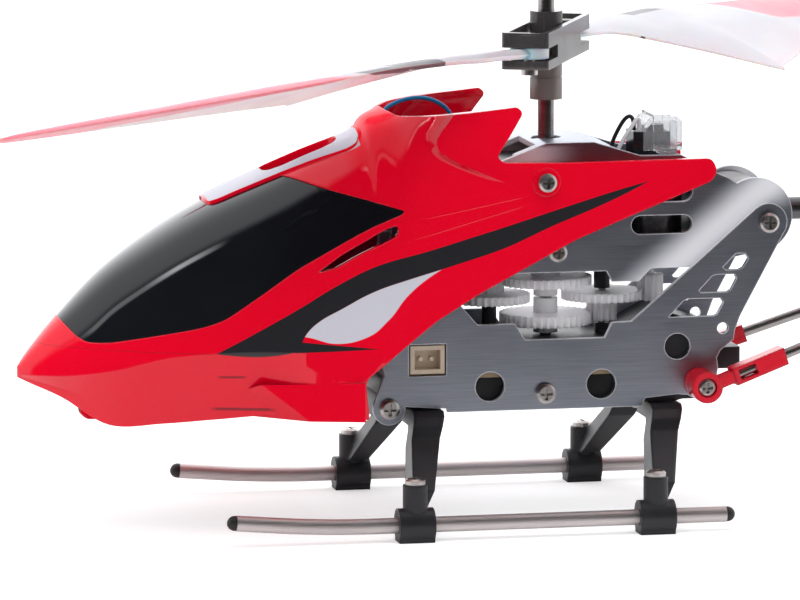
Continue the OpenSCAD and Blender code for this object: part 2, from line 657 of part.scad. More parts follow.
// A domed cap with its open face at the origin
module cap() { cylinder(r = 1, h = 0.3); translate([0, 0, 0.2]) sphere(r = 1); }

module skid_caps() color([0.1, 0.1, 0.1]) both() {
  translate([skid_back - gap, leg_y, skid_z]) rotate([0, -90, 0]) difference() {
    cap();
    translate([0, 0, -5]) cylinder(r = 3, h = 5);
  }
  translate(bend_at) rotate([0, 90 - bend, 0]) translate([0, 0, skid_front + gap]) difference() {
    cap();
    translate([0, 0, -5]) cylinder(r = 3, h = 5);
  }
}

// A cross head screw with the underside of its head at the origin
module screw(r, length, head) color("silver") difference() {
  union() {
    translate([0, 0, -length]) cylinder(r = r, h = length + 0.2);
    cylinder(r = head, h = head_h - 0.25);
    translate([0, 0, head_h - 0.25]) cylinder(r1 = head, r2 = head - 0.35, h = 0.25);
  }
  for (t = [0, 90]) rotate(t) box(-head * 0.6, head * 0.6, -0.2, 0.2, head_h - 0.55, 2);
}

module skid_screws() both() for (x = leg_x) {
  translate([x, leg_y, 7.6 + 0.02]) screw(screw_r, 2.8, head_r);
  translate([x - 4.1, 5.5, 13.4 - 0.02]) rotate([180, 0, 0]) screw(0.5, 3, 1.1);
}

module side_screw(p, y, length, head = head_r) translate([p[0], y + 0.02, p[1]]) rotate([-90, 0, 0])
  screw(screw_r, length, head);

module frame_screws() both() {
  side_screw(lower_screws[0], plate_y, 3.5);
  side_screw(lower_screws[1], plate_y, 1.2);
  side_screw(lower_screws[2], plate_y, 4.5);
  side_screw(lower_screws[3], plate_y, 4.5);
  side_screw(upper_screws[0], upper_y, 3.5, 1.25);
  side_screw(canopy_pin, 13.5, 7, 1.25);
}

// The tail

module tail_boom() color([0.25, 0.25, 0.26])
  rod_x(tail_x + 2.8, 0, boom_z, boom_d / 2, -23.4 - tail_x - 2.8);

// Local X runs along the support rod of one side, from its clip
module on_rod(s) translate([rod_from[0], s * rod_from[1], rod_from[2]])
  rotate([0, 0, 180 + s * rod_yaw]) rotate([0, -rod_lift, 0]) children();

module support_rod(s) color("silver") on_rod(s) rod_x(4.4, 0, 0, rod_r, rod_len - 3);
module support_rod_left() support_rod(1);
module support_rod_right() support_rod(-1);

module support_clip(s) color("red") difference() {
  union() {
    rod_y(clip_pin[0], s > 0 ? plate_y + 0.1 : -plate_y - 0.1 - clip_h, clip_pin[1], 2.1, clip_h);
    on_rod(s) {
      box(1.5, 4.6, -0.8, 0.8, -0.8, 0.8);
      box(4, 11.8, -1.1, 1.1, -1.2, 1.2);
    }
  }
  rod_y(clip_pin[0], -20, clip_pin[1], screw_r + gap, 40);
  rod_y(clip_pin[0], s > 0 ? rod_from[1] : -rod_from[1] - 10, clip_pin[1], 1.3, 10);
  on_rod(s) {
    rod_x(4.3, 0, 0, rod_r + 0.03, 20);
    box(4.7, 7.3, -3, 3, -0.75, 0.75);
  }
}
module support_clip_left() support_clip(1);
module support_clip_right() support_clip(-1);

module support_screws() both() side_screw(clip_pin, rod_from[1], 7.5, 1.2);

module tail_clamp() color("red") difference() {
  union() {
    rod_x(-88, 0, boom_z, 2.8, 8);
    box(-88, -80, -1.6, 1.6, boom_z, boom_z + 3.2);
    box(-86.5, -80.5, -4.8, 4.8, boom_z - 2.2, boom_z + 1.2);
  }
  rod_x(-100, 0, boom_z, boom_d / 2 + 0.03, 40);
  for (s = [-1, 1]) on_rod(s) rod_x(40, 0, 0, rod_r + 0.03, rod_len - 38.4);
}

module horizontal_fin() color("red") translate([0, 0, boom_z + 3.25]) linear_extrude(1) {
  polygon([[-79, -1.5], [-82, -4], [-92, -19], [-99, -20], [-100, -18.5], [-97, -3], [-97, 3],
    [-100, 18.5], [-99, 20], [-92, 19], [-82, 4], [-79, 1.5]]);
}

module vertical_fin() color("red") difference() {
  union() {
    side(-0.5, 1) polygon([[tail_x + 20, boom_z], [tail_x + 4, boom_z], [tail_x - 5, boom_z - 7],
      [tail_x - 11, boom_z - 14], [tail_x - 10, boom_z - 16], [tail_x - 4, boom_z - 16.5],
      [tail_x + 8, boom_z - 9]]);
    rod_x(tail_x + 6, 0, boom_z, 2.2, 10);
  }
  rod_x(tail_x, 0, boom_z, boom_d / 2 + 0.03, 40);
  box(tail_x - 4.6, tail_x + 5.2, -4, 4, boom_z - 4.2, boom_z + 5);
}

module tail_mount() color([0.12, 0.12, 0.13]) difference() {
  union() {
    translate([tail_x, 0, boom_z - 2.6]) cylinder(r = 3.3, h = 6);
    rod_x(tail_x, 0, boom_z, 2.5, 5);
  }
  translate([tail_x, 0, 0]) cylinder(r = 2.03, h = 80);
  rod_x(tail_x + 2.7, 0, boom_z, boom_d / 2 + 0.03, 10);
}

module tail_motor() color("silver") translate([tail_x, 0, 0]) {
  translate([0, 0, boom_z - 4]) cylinder(r = 2, h = 9.5);
  translate([0, 0, boom_z + 5]) cylinder(r = 0.4, h = 4.6);
}

module tail_rotor() color([0.12, 0.12, 0.13]) translate([tail_x, 0, boom_z + 7.8]) difference() {
  union() {
    translate([0, 0, -1]) cylinder(r = 1.4, h = 2.6);
    for (t = [0, 180]) rotate(t) rotate([14, 0, 0]) translate([0, 0, -0.35]) linear_extrude(0.7)
      polygon([[0.3, -0.9], [4, -1.7], [tail_blade - 3, -1.9], [tail_blade - 0.4, -1], [tail_blade, 0],
        [tail_blade - 0.4, 1], [tail_blade - 3, 1.7], [4, 1.3], [0.3, 0.9]]);
  }
  translate([0, 0, -5]) cylinder(r = 0.45, h = 20);
}

// The receiver and the wires

module ir_cover() color([0.8, 0.85, 0.9]) difference() {
  union() {
    side(-3, 6) polygon([[-12.9, 48.9], [-12.9, 52.3], [-13.5, 53.2], [-14.2, 53.5], [-17.4, 53.5],
      [-18.2, 52.8], [-18.2, 48.9]]);
    box(-16.4, -14.1, -3.5, 3.5, 48.9, 53.8);
    box(-16.4, -14.1, -upper_y, upper_y, 48.9, 49.6);
  }
  side(-2.4, 4.8) polygon([[-30, 40], [-10, 40], [-10, 52], [-13.5, 52], [-14.2, 52.9], [-17.2, 52.9],
    [-17.6, 52.5], [-17.6, 48], [-30, 48]]);
}

module ir_receiver() color([0.06, 0.06, 0.06]) {
  box(-16.6, -11.6, -2.2, 2.2, 48.3, 51.4);
  translate([-15, 0, 51.3]) cylinder(r = 1.2, h = 0.9);
}

wire_r = 0.28;

module ir_wires() color([0.15, 0.15, 0.15]) {
  wire([[-8.6, 1.2, 48.5], [-9.1, 1.2, 50.4], [-10.3, 1.1, 52.6], [-11.2, 1, 53.4], [-11.8, 0.9, 53],
    [-12, 0.9, 51.5]], wire_r);
  wire([[-9.3, 2.1, 48.5], [-10.1, 2.1, 50.2], [-11.3, 2, 52], [-12.2, 1.8, 53.1], [-12.5, 1.7, 52.7],
    [-12.5, 1.7, 51.5]], wire_r);
}

module blue_wire() color("blue") wire([[18, 1, 47.3], [20.6, 0.8, 48.6], [22.1, 0.4, 51],
  [22.5, 0.2, 53.4], [22, 0, 55.1], [19.8, 0, 56.2], [17.2, 0, 56.5], [14.9, 0, 55.8], [13.3, 0, 54.4],
  [12.7, 0.1, 52], [12.9, 0.3, 50], [13.3, 0.4, 48.1]], wire_r);

// The whole part, or one node of it

module place() translate([shaft_x, 0, 0]) children();

place() canopy();
place() windshield();
place() upper_frame();
place() lower_plate_left();
place() lower_plate_right();
place() gear_deck();
place() lower_tray();
place() battery();
place() circuit_board();
place() charge_socket();
place() power_switch();
place() switch_slider();
place() front_motor();
place() rear_motor();
place() gear_pins();
place() leg_front_left();
place() leg_front_right();
place() leg_rear_left();
place() leg_rear_right();
place() skid_tube_left();
place() skid_tube_right();
place() skid_caps();
place() skid_screws();
place() frame_screws();
place() tail_boom();
place() support_rod_left();
place() support_rod_right();
place() support_clip_left();
place() support_clip_right();
place() support_screws();
place() tail_clamp();
place() horizontal_fin();
place() vertical_fin();
place() tail_motor();
place() tail_mount();
place() tail_rotor();
place() ir_cover();
place() ir_receiver();
place() ir_wires();
place() blue_wire();
place() outer_shaft();
place() upper_main_gear();
place() lower_grip();
place() lower_blade_a();
place() lower_blade_b();
place() lower_blade_screws();
place() inner_shaft();
place() lower_main_gear();
place() rotor_hub();
place() upper_grip();
place() upper_blade_a();
place() upper_blade_b();
place() upper_blade_screws();
place() flybar();
place() rotor_link_a();
place() rotor_link_b();
place() front_compound();
place() rear_compound();
place() front_pinion();
place() rear_pinion();
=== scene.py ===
# %% [markdown]
# # Dressing a remote control helicopter
# The solids of this palm sized helicopter come from its CAD source, each on the body that it moves with.
# This lesson gives them their finishes. It also remakes the pieces whose soft form a solid with facets
# can't show: the canopy, its window, the blades, the skid tubes and the wires.

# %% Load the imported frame
import json
import math

import bmesh
import bpy
from mathutils import Matrix, Vector


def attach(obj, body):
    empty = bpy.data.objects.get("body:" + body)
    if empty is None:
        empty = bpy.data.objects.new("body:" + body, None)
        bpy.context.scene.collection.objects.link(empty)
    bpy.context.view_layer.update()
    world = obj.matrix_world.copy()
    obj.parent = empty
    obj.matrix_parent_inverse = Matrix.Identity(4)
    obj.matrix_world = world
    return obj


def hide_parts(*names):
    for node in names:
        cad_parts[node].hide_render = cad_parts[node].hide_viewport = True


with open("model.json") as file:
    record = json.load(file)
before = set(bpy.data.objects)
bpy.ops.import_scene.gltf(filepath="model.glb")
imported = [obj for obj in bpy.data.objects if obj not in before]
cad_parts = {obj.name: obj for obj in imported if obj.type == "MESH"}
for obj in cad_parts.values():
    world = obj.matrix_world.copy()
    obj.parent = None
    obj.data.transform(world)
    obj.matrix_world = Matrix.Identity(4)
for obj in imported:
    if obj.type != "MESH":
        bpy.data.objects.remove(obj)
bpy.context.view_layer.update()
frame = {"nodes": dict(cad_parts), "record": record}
nodes = frame["nodes"]
scene = bpy.context.scene
MM = 0.001
SHAFT = 32.5  # mm from the origin forward to the rotor shaft


def place(point):
    """A point in mm from the foot of the rotor shaft, as metres in the shared frame."""
    return Vector(((point[0] + SHAFT) * MM, point[1] * MM, point[2] * MM))


# %% [markdown]
# ## The camera
# The photograph is a close view with a long lens from the left side, a little ahead of the shaft and a
# little above it. A long lens far away keeps the parallel lines of the skids nearly parallel.

# %% Camera
AZIMUTH = math.radians(11.73)  # from square on to the left side, toward the nose
ELEVATION = math.radians(8.14)
DISTANCE = 1000  # mm
AIM = Vector((0, 0, 30))  # mm, the point on the shaft that the camera turns round
FRAME_SHIFT = (19.65, 1.42)  # mm right and up from the picture's centre to that point
FOCAL_PIXELS, IMAGE_WIDTH = 7400, 800
SENSOR = 36  # mm

right = Vector((-math.cos(AZIMUTH), math.sin(AZIMUTH), 0))
back = Vector((math.sin(AZIMUTH) * math.cos(ELEVATION), math.cos(AZIMUTH) * math.cos(ELEVATION),
               math.sin(ELEVATION)))
up = back.cross(right)
eye = AIM + back * DISTANCE - right * FRAME_SHIFT[0] - up * FRAME_SHIFT[1]
lens = bpy.data.cameras.new("camera")
lens.sensor_width = SENSOR
lens.lens = FOCAL_PIXELS * SENSOR / IMAGE_WIDTH
lens.clip_start, lens.clip_end = 0.01, 20
camera = bpy.data.objects.new("camera", lens)
camera.matrix_world = Matrix.Translation(place(eye)) @ Matrix((right, up, back)).transposed().to_4x4()
scene.collection.objects.link(camera)
scene.camera = camera
scene.view_settings.view_transform = "Standard"
print("camera at", [round(v, 3) for v in camera.matrix_world.translation])

# %% [markdown]
# ## A small language for nodes
# Every finish below is a tree of shader nodes. Adding each node by hand is long to read, so one short class
# adds a node, sets what is constant and links what varies. A mask is a value from 0 to 1 over the surface.
# Masks are joined with two words: both, which multiplies, and either, which takes the largest.

# %% Node helpers


class Graph:
    """The nodes and links of one material, world or node group."""

    def __init__(self, tree):
        self.tree = tree

    def add(self, kind, inputs=None, **settings):
        """A new node with its settings and its inputs."""
        node = self.tree.nodes.new(kind if kind.startswith("NodeGroup") else "ShaderNode" + kind)
        for name, value in settings.items():
            setattr(node, name, value)
        for name, value in (inputs or {}).items():
            self.feed(node.inputs[name], value)
        return node

    def feed(self, socket, value):
        """Links a socket to the input, or sets a constant on it."""
        if isinstance(value, bpy.types.NodeSocket):
            self.tree.links.new(value, socket)
        else:
            socket.default_value = value

    def fill(self, node, values):
        """Feeds the first inputs of a node in their order, and returns its first output."""
        for socket, value in zip(node.inputs, values):
            self.feed(socket, value)
        return node.outputs[0]

    def math(self, operation, *values):
        return self.fill(self.add("Math", operation=operation), values)

    def line(self, value, slope, start):
        """A straight line over value that passes through start at 0."""
        return self.math("MULTIPLY_ADD", value, slope, start)

    def both(self, first, *others):
        """The product: 1 only where every mask is 1."""
        for value in others:
            first = self.math("MULTIPLY", first, value)
        return first

    def either(self, first, *others):
        """The largest: 1 where any mask is 1."""
        for value in others:
            first = self.math("MAXIMUM", first, value)
        return first

    def ramp(self, value, low, high, start=0.0, end=1.0):
        """A smooth step of value from start at low to end at high."""
        node = self.add("MapRange", interpolation_type="SMOOTHSTEP")
        return self.fill(node, (value, low, high, start, end))

    def ramp_line(self, value, low, high):
        """A straight step of value from 0 at low to 1 at high."""
        return self.fill(self.add("MapRange"), (value, low, high))

    def mix(self, share, first, second):
        """The first colour, with the given share of the second."""
        node = self.add("Mix", data_type="RGBA")
        for index, value in ((0, share), (6, first), (7, second)):
            self.feed(node.inputs[index], value)
        return node.outputs[2]

    def spot(self):
        """The place on the piece at rest, which moves with it."""
        return self.add("TexCoord").outputs["Object"]

    def parts(self, vector):
        """Three sockets for X, Y and Z."""
        return self.add("SeparateXYZ", {"Vector": vector}).outputs

    def normal(self):
        """The direction that the surface faces."""
        return self.add("NewGeometry").outputs["Normal"]

    def noise(self, vector, scale, detail=3.0, rough=0.5):
        inputs = {"Vector": vector, "Scale": scale, "Detail": detail, "Roughness": rough}
        return self.add("TexNoise", inputs).outputs["Fac"]

    def stretch(self, vector, scale):
        return self.add("Mapping", {"Vector": vector, "Scale": scale}).outputs["Vector"]

    def use(self, shared, **inputs):
        """Places a node group and gives it this material's own values."""
        node = self.add("Group", node_tree=shared)
        for name, value in inputs.items():
            self.feed(node.inputs[name.replace("_", " ")], value)
        return node.outputs

    def soft_edge(self, radius, samples=4):
        """The normal with edges rounded by the given radius in metres."""
        return self.add("Bevel", {"Radius": radius}, samples=samples).outputs["Normal"]

    def bump(self, height, strength, distance, normal):
        """The normal with relief of the given depth in metres."""
        inputs = {"Height": height, "Strength": strength, "Distance": distance, "Normal": normal}
        return self.add("Bump", inputs).outputs[0]


SOCKETS = {"colour": "NodeSocketColor", "value": "NodeSocketFloat", "vector": "NodeSocketVector"}


def shared_group(name, inputs, outputs):
    """A node group with named sockets. Returns its tree, its graph and the sockets at its two ends."""
    tree = bpy.data.node_groups.new(name, "ShaderNodeTree")
    for label, kind, usual in inputs:
        tree.interface.new_socket(label, in_out="INPUT", socket_type=SOCKETS[kind]).default_value = usual
    for label, kind in outputs:
        tree.interface.new_socket(label, in_out="OUTPUT", socket_type=SOCKETS[kind])
    graph = Graph(tree)
    return tree, graph, graph.add("NodeGroupInput").outputs, graph.add("NodeGroupOutput").inputs


finishes = {}


def finish(name, **constants):
    """A new material with one Principled shader. Constants are set on its own sockets."""
    made = bpy.data.materials.new(name)
    made.use_nodes = True
    made.node_tree.nodes.clear()
    graph = Graph(made.node_tree)
    shader = graph.add("BsdfPrincipled")
    for label, value in constants.items():
        shader.inputs[label.replace("_", " ")].default_value = value
    graph.add("OutputMaterial", {"Surface": shader.outputs[0]})
    finishes[name] = made
    return graph, shader.inputs


print("node helpers ready")

# %% [markdown]
# ## Plastic and metal as shared effects
# Moulded plastic is never one even colour: the mould leaves a fine grain, and the gloss varies where it was
# handled. Brushed metal has streaks in one direction. Many pieces have these two surfaces, so each is one
# node group, and a finish that uses it gives only its own colours and sizes.

# %% Plastic and metal
moulded, g, given, out = shared_group(
    "moulded plastic",
    [("Colour", "colour", (0.5, 0.5, 0.5, 1)), ("Deep Colour", "colour", (0.4, 0.4, 0.4, 1)),
     ("Gloss", "value", 0.4), ("Grain", "value", 2500.0)],
    [("Colour", "colour"), ("Roughness", "value"), ("Height", "value")])
spot = g.spot()
cloud = g.ramp(g.noise(spot, 140.0), 0.3, 0.7)
g.feed(out["Colour"], g.mix(cloud, given["Colour"], given["Deep Colour"]))
g.feed(out["Roughness"], g.math("ADD", given["Gloss"], g.line(cloud, 0.1, -0.05)))
g.feed(out["Height"], g.noise(spot, given["Grain"], 2.0))

brushed, g, given, out = shared_group(
    "brushed metal",
    [("Colour", "colour", (0.6, 0.6, 0.6, 1)), ("Dark Colour", "colour", (0.4, 0.4, 0.4, 1)),
     ("Streaks", "vector", (60.0, 60.0, 4000.0)), ("Gloss", "value", 0.35)],
    [("Colour", "colour"), ("Roughness", "value"), ("Height", "value")])
spot = g.spot()
streak = g.noise(g.stretch(spot, given["Streaks"]), 1.0, 4.0, 0.6)
patch = g.ramp(g.noise(spot, 90.0), 0.25, 0.75)
uneven = g.math("ADD", g.math("SUBTRACT", streak, 0.5), g.both(patch, 0.3))
g.feed(out["Colour"], g.mix(g.ramp(streak, 0.3, 0.7), given["Dark Colour"], given["Colour"]))
g.feed(out["Roughness"], g.line(uneven, 0.22, given["Gloss"]))
g.feed(out["Height"], streak)
print("made", moulded.name, "and", brushed.name)

# %% [markdown]
# ## Paint and handling marks as shared effects
# The red paint carries small flakes that catch the light. A Voronoi texture gives each flake its own cell,
# and only a small share of the cells is lit. Clear and glossy surfaces show where fingers touched them, as
# soft smears in their gloss.

# %% Paint and handling marks
flaked, g, given, out = shared_group(
    "flaked paint",
    [("Colour", "colour", (0.7, 0.0, 0.02, 1)), ("Flake Colour", "colour", (1.0, 0.4, 0.35, 1)),
     ("Flakes", "value", 14000.0), ("Share", "value", 0.06)],
    [("Colour", "colour"), ("Roughness", "value")])
spot = g.spot()
cell = g.add("TexVoronoi", {"Vector": spot, "Scale": given["Flakes"]}).outputs
draw = g.add("SeparateColor", {"Color": cell["Color"]}).outputs[0]
flake = g.both(g.ramp(cell["Distance"], 0.35, 0.1), g.math("LESS_THAN", draw, given["Share"]))
g.feed(out["Colour"], g.mix(flake, given["Colour"], given["Flake Colour"]))
g.feed(out["Roughness"], g.line(g.noise(spot, 60.0), 0.12, 0.3))

handled, g, given, out = shared_group(
    "handling marks", [("Gloss", "value", 0.1), ("Marks", "value", 0.1)], [("Roughness", "value")])
smear = g.ramp(g.noise(g.stretch(g.spot(), (90.0, 90.0, 240.0)), 1.0, 4.0), 0.45, 0.8)
g.feed(out["Roughness"], g.line(smear, given["Marks"], given["Gloss"]))
print("shared effects:", [tree.name for tree in bpy.data.node_groups])

# %% [markdown]
# ## Floor
# The photograph is a product shot on white. The floor is a pale sheet that ends just in front of the part,
# so the near side of the part reflects the dark room beyond its edge. It glows a little for the camera
# alone, which keeps it white and leaves a faint shadow.

# %% Floor
FLOOR_REACH = 6  # metres to either side and to the back
FRONT_EDGE = 0.08  # metres, where the floor ends on the camera's side
FLOOR_GLOW = 0.45


def add_mesh(name, points, faces):
    """A new mesh object from its points and faces."""
    mesh = bpy.data.meshes.new(name)
    mesh.from_pydata(points, [], faces)
    made = bpy.data.objects.new(name, mesh)
    scene.collection.objects.link(made)
    return made


corners = [(-FLOOR_REACH, -FLOOR_REACH, 0), (FLOOR_REACH, -FLOOR_REACH, 0), (FLOOR_REACH, FRONT_EDGE, 0),
           (-FLOOR_REACH, FRONT_EDGE, 0)]
floor = add_mesh("floor", corners, [(0, 1, 2, 3)])
g, shader = finish("floor_white", Roughness=0.9, Emission_Color=(1, 1, 1, 1))
shade = g.noise(g.add("NewGeometry").outputs["Position"], 6.0)
g.feed(shader["Base Color"], g.mix(shade, (0.8, 0.8, 0.8, 1), (0.84, 0.84, 0.84, 1)))
g.feed(shader["Emission Strength"], g.both(g.add("LightPath").outputs["Is Camera Ray"], FLOOR_GLOW))
floor.data.materials.append(finishes["floor_white"])
print("floor ends", FRONT_EDGE, "m in front of the part's middle")

# %% [markdown]
# ## World and light
# The studio is a white tent behind and above the part, with the dark room only on the camera's side.
# Glossy paint shows that room as two tones, so the world is drawn the same way, with one bright lamp at
# the tent's edge. Diffuse surfaces get a plain even level instead, and the camera sees plain white. One soft
# light from above gives the shadow. It is hidden from reflections, because the tent has its own ceiling.

# %% World and light
TENT_EDGE = (0.26, 0.1)  # where the tent starts toward the camera, and where it is full
WALL_RISE = (-0.2, -0.8)  # the wall behind grows from 1 to 2 between these
DARK_ROOM = 0.03
LAMP_POWER = 6.0
BACKGROUND = 1.04

world = bpy.data.worlds.new("studio")
world.use_nodes = True
world.node_tree.nodes.clear()
scene.world = world
g = Graph(world.node_tree)
look = g.parts(g.add("TexCoord").outputs["Generated"])
toward = g.math("ADD", g.both(look[0], math.sin(AZIMUTH)), g.both(look[1], math.cos(AZIMUTH)))
tent = g.both(g.either(g.ramp(toward, *TENT_EDGE), DARK_ROOM), g.ramp(toward, *WALL_RISE, 1.0, 2.0))
upright = g.both(g.ramp(toward, 0.2, 0.24), g.ramp(toward, 0.31, 0.27), g.ramp(look[0], 0.3, 0.6))
lamp = g.both(upright, g.ramp(look[2], 0.42, 0.5), g.ramp(look[2], 0.7, 0.82, 0.3, 1.0))
room = g.line(lamp, LAMP_POWER, tent)
even = g.line(look[2], 0.3, 0.8)
ray = g.add("LightPath").outputs
seen = g.add("Mix", {0: ray["Is Diffuse Ray"], 2: room, 3: even}).outputs[0]
straight = g.either(ray["Is Camera Ray"], ray["Is Transmission Ray"])
strength = g.add("Mix", {0: straight, 2: seen, 3: BACKGROUND}).outputs[0]
sky = g.add("Background", {"Color": (0.97, 0.98, 1, 1), "Strength": strength})
g.add("OutputWorld", {"Surface": sky.outputs[0]})

LIGHT_AT, LIGHT_TARGET = Vector((0.1, 0.15, 0.9)), Vector((0.03, 0, 0.03))  # metres
light = bpy.data.lights.new("top_light", "AREA")
light.shape = "RECTANGLE"
light.size, light.size_y = 0.7, 0.5
light.energy = 3.4
ceiling = bpy.data.objects.new("top_light", light)
ceiling.location = LIGHT_AT
ceiling.rotation_euler = (LIGHT_TARGET - LIGHT_AT).to_track_quat("-Z", "Y").to_euler()
ceiling.visible_glossy = False
scene.collection.objects.link(ceiling)
print("world and light ready")

# %% [markdown]
# ## Forms by formula
# The canopy is a loft: a few ribs, each with a top, a belt and a foot, and a smooth curve from rib to rib.
# Windows and openings are cut with prisms, as a mould maker would cut them. All of it is built in
# millimetres from the shaft and moved into the shared frame when it is done.

# %% Form helpers


def smooth(rows, s):
    """A point on the smooth curve through the rows, at row number s."""
    k = min(int(s), len(rows) - 2)
    p0, p1, p2, p3 = (rows[max(0, min(len(rows) - 1, i))] for i in range(k - 1, k + 3))
    t = s - k
    return [0.5 * (2 * b + (c - a) * t + (2 * a - 5 * b + 4 * c - d) * t * t
                   + (3 * b - a - 3 * c + d) * t ** 3)
            for a, b, c, d in zip(p0, p1, p2, p3)]


def bend(first, corner, last, steps):
    """Points on a soft bend from first to last, whose two ends aim at the corner."""
    turns = [k / steps for k in range(steps + 1)]
    return [tuple(first * (1 - t) ** 2 + corner * 2 * t * (1 - t) + last * t * t) for t in turns]


def rounded(outline, radius):
    """The outline with every corner rounded, by less where an edge is short."""
    made = []
    for i, corner in enumerate(outline):
        corner = Vector(corner)
        before = Vector(outline[i - 1]) - corner
        after = Vector(outline[(i + 1) % len(outline)]) - corner
        cut = min(radius, 0.45 * before.length, 0.45 * after.length)
        made += bend(corner + before.normalized() * cut, corner, corner + after.normalized() * cut, 5)
    return made


def circle(radius, count, centre=(0, 0)):
    """A round outline with count points."""
    turns = [2 * math.pi * k / count for k in range(count)]
    return [(centre[0] + radius * math.cos(a), centre[1] + radius * math.sin(a)) for a in turns]


def loft(name, rings):
    """A closed solid through rings with equal numbers of points, in mm."""
    n, m = len(rings[0]), len(rings)
    faces = [(i * n + j, i * n + (j + 1) % n, (i + 1) * n + (j + 1) % n, (i + 1) * n + j)
             for i in range(m - 1) for j in range(n)]
    faces += [tuple(range(n))[::-1], tuple((m - 1) * n + j for j in range(n))]
    made = add_mesh(name, [p for ring in rings for p in ring], faces)
    shape = bmesh.new()
    shape.from_mesh(made.data)
    bmesh.ops.recalc_face_normals(shape, faces=shape.faces)
    shape.to_mesh(made.data)
    shape.free()
    return made


def side_prism(outline, y0=-30, y1=30):
    """A prism across the part from an outline seen from the side, in mm."""
    return loft("prism", [[(x, y, z) for x, z in outline] for y in (y0, y1)])


def top_prism(outline, z0, z1):
    """An upright prism from an outline seen from above, in mm."""
    return loft("prism", [[(x, y, z) for x, y in outline] for z in (z0, z1)])


def carve(piece, tool, operation="DIFFERENCE"):
    """Cuts, joins or keeps the shared part of two closed solids, and removes the tool."""
    step = piece.modifiers.new("carve", "BOOLEAN")
    step.object, step.operation, step.solver = tool, operation, "EXACT"
    graph = bpy.context.evaluated_depsgraph_get()
    result = bpy.data.meshes.new_from_object(piece.evaluated_get(graph))
    piece.modifiers.clear()
    piece.data = result
    bpy.data.objects.remove(tool)
    return piece


def settle(piece, body, node, material, sharp=30):
    """Moves a piece made in mm into the shared frame, where it stands for a CAD node."""
    piece.data.transform(Matrix.Translation((SHAFT * MM, 0, 0)) @ Matrix.Scale(MM, 4))
    piece.data.shade_smooth()
    piece.data.set_sharp_from_angle(angle=math.radians(sharp))
    piece.data.materials.clear()
    piece.data.materials.append(finishes[material])
    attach(piece, body)
    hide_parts(node)
    print(piece.name, "stands for", node, "with", len(piece.data.polygons), "faces")
    return piece


print("form helpers ready")

# %% [markdown]
# ## Drawing on a shell
# Graphics on the real part are printed or masked before the clear coat. An image would need its own layout
# of the surface, so here each edge of a graphic is a curve over the place on the shell, and a mask is what
# lies between two of them. Such a mask stays sharp at any distance.

# %% Drawing helpers
INK_X, INK_Z = (-14.0, 52.0), (20.0, 50.0)  # mm, the field that the curves are drawn in


def axes(graph):
    """Three sockets: the place on the piece in mm, X from the shaft."""
    moved = graph.add("VectorMath", {0: graph.spot(), 1: (1000, 1000, 1000), 2: (-SHAFT, 0, 0)},
                      operation="MULTIPLY_ADD")
    return graph.parts(moved.outputs[0])


def curve(graph, x, points):
    """The height in mm of a smooth line through the points, at x."""
    node = graph.add("FloatCurve", {"Value": graph.ramp_line(x, *INK_X)})
    drawn = node.mapping.curves[0]
    spots = [((px - INK_X[0]) / (INK_X[1] - INK_X[0]), (pz - INK_Z[0]) / (INK_Z[1] - INK_Z[0]))
             for px, pz in sorted(points)]
    drawn.points[0].location, drawn.points[1].location = spots[0], spots[-1]
    for spot in spots[1:-1]:
        drawn.points.new(*spot)
    node.mapping.extend = "HORIZONTAL"
    node.mapping.update()
    return graph.line(node.outputs[0], INK_Z[1] - INK_Z[0], INK_Z[0])


def between(graph, value, low, high, soft=0.05):
    """1 where value lies between low and high, with a narrow soft edge."""
    return graph.both(graph.ramp(graph.math("SUBTRACT", value, low), -soft, soft),
                      graph.ramp(graph.math("SUBTRACT", high, value), -soft, soft))


print("curves are drawn over", INK_X, "and", INK_Z, "mm")

# %% [markdown]
# ## Canopy paint
# The canopy's red carries a fine flake under a clear coat. On its side runs a dark swept stripe with a
# silver wedge under it, and the strip on the ridge is silver too. The print is only on the outside of the
# shell. The inside is dull, and its lower part gets a painted shade of darker red. Two short grooves low on
# the side get painted shade too, darker than the paint.

# %% Canopy paint
STRIPE_TOP = [(-13.5, 46.3), (-8.6, 45.2), (1.2, 42.6), (9.5, 40.3), (17.7, 38.1), (25.6, 36), (31.5, 33.6),
              (36.9, 30.8), (42, 28.2), (48.2, 25)]
STRIPE_FOOT = [(-13.5, 46.9), (-8.6, 44.5), (-4, 42.6), (2, 40.4), (9, 37.6), (16, 35.6), (22, 34),
               (27, 32.4), (31, 30.6), (34.5, 28.9), (36.3, 27.3), (37.4, 25.4), (38.2, 25), (48.2, 25)]
WEDGE_FOOT = [(15, 36.4), (19, 34.3), (22, 32), (25, 28.6), (28, 26.6), (32, 26), (36, 27), (38.5, 27.4)]
INK = (0.022, 0.022, 0.025, 1)
WEDGE_SILVER, STRIP_SILVER = (0.62, 0.62, 0.68, 1), (0.56, 0.56, 0.62, 1)
# painted shade: darker reds for the two grooves and for the lower inside of the shell
GROOVE_SHADE_RED, INSIDE_SHADE_RED = (0.3, 0.001, 0.01, 1), (0.16, 0.001, 0.012, 1)

g, shader = finish("canopy_red", Coat_Roughness=0.05, Specular_IOR_Level=0.0, Subsurface_Weight=0.25,
                   Subsurface_Scale=0.0012, Subsurface_Radius=(1, 0.06, 0.08))
x, y, z = axes(g)
facing = g.parts(g.normal())
outside = g.math("GREATER_THAN", g.both(y, facing[1]), 0.0)  # where the shell faces away from its middle
stripe_top, stripe_foot, wedge_foot = (curve(g, x, rows) for rows in (STRIPE_TOP, STRIPE_FOOT, WEDGE_FOOT))
stripe = between(g, z, stripe_foot, stripe_top)
underline = g.both(between(g, z, 25.0, g.line(x, 0.13, 21.6)), between(g, x, 26.0, 38.0))
ink = g.both(g.either(stripe, underline), outside)
silver = g.both(between(g, z, wedge_foot, stripe_foot), between(g, x, 16.0, 37.5), outside)
from_middle = g.math("ABSOLUTE", y)
on_ridge = g.both(g.math("GREATER_THAN", facing[2], 0.5), g.ramp(z, 43.0, 43.2))
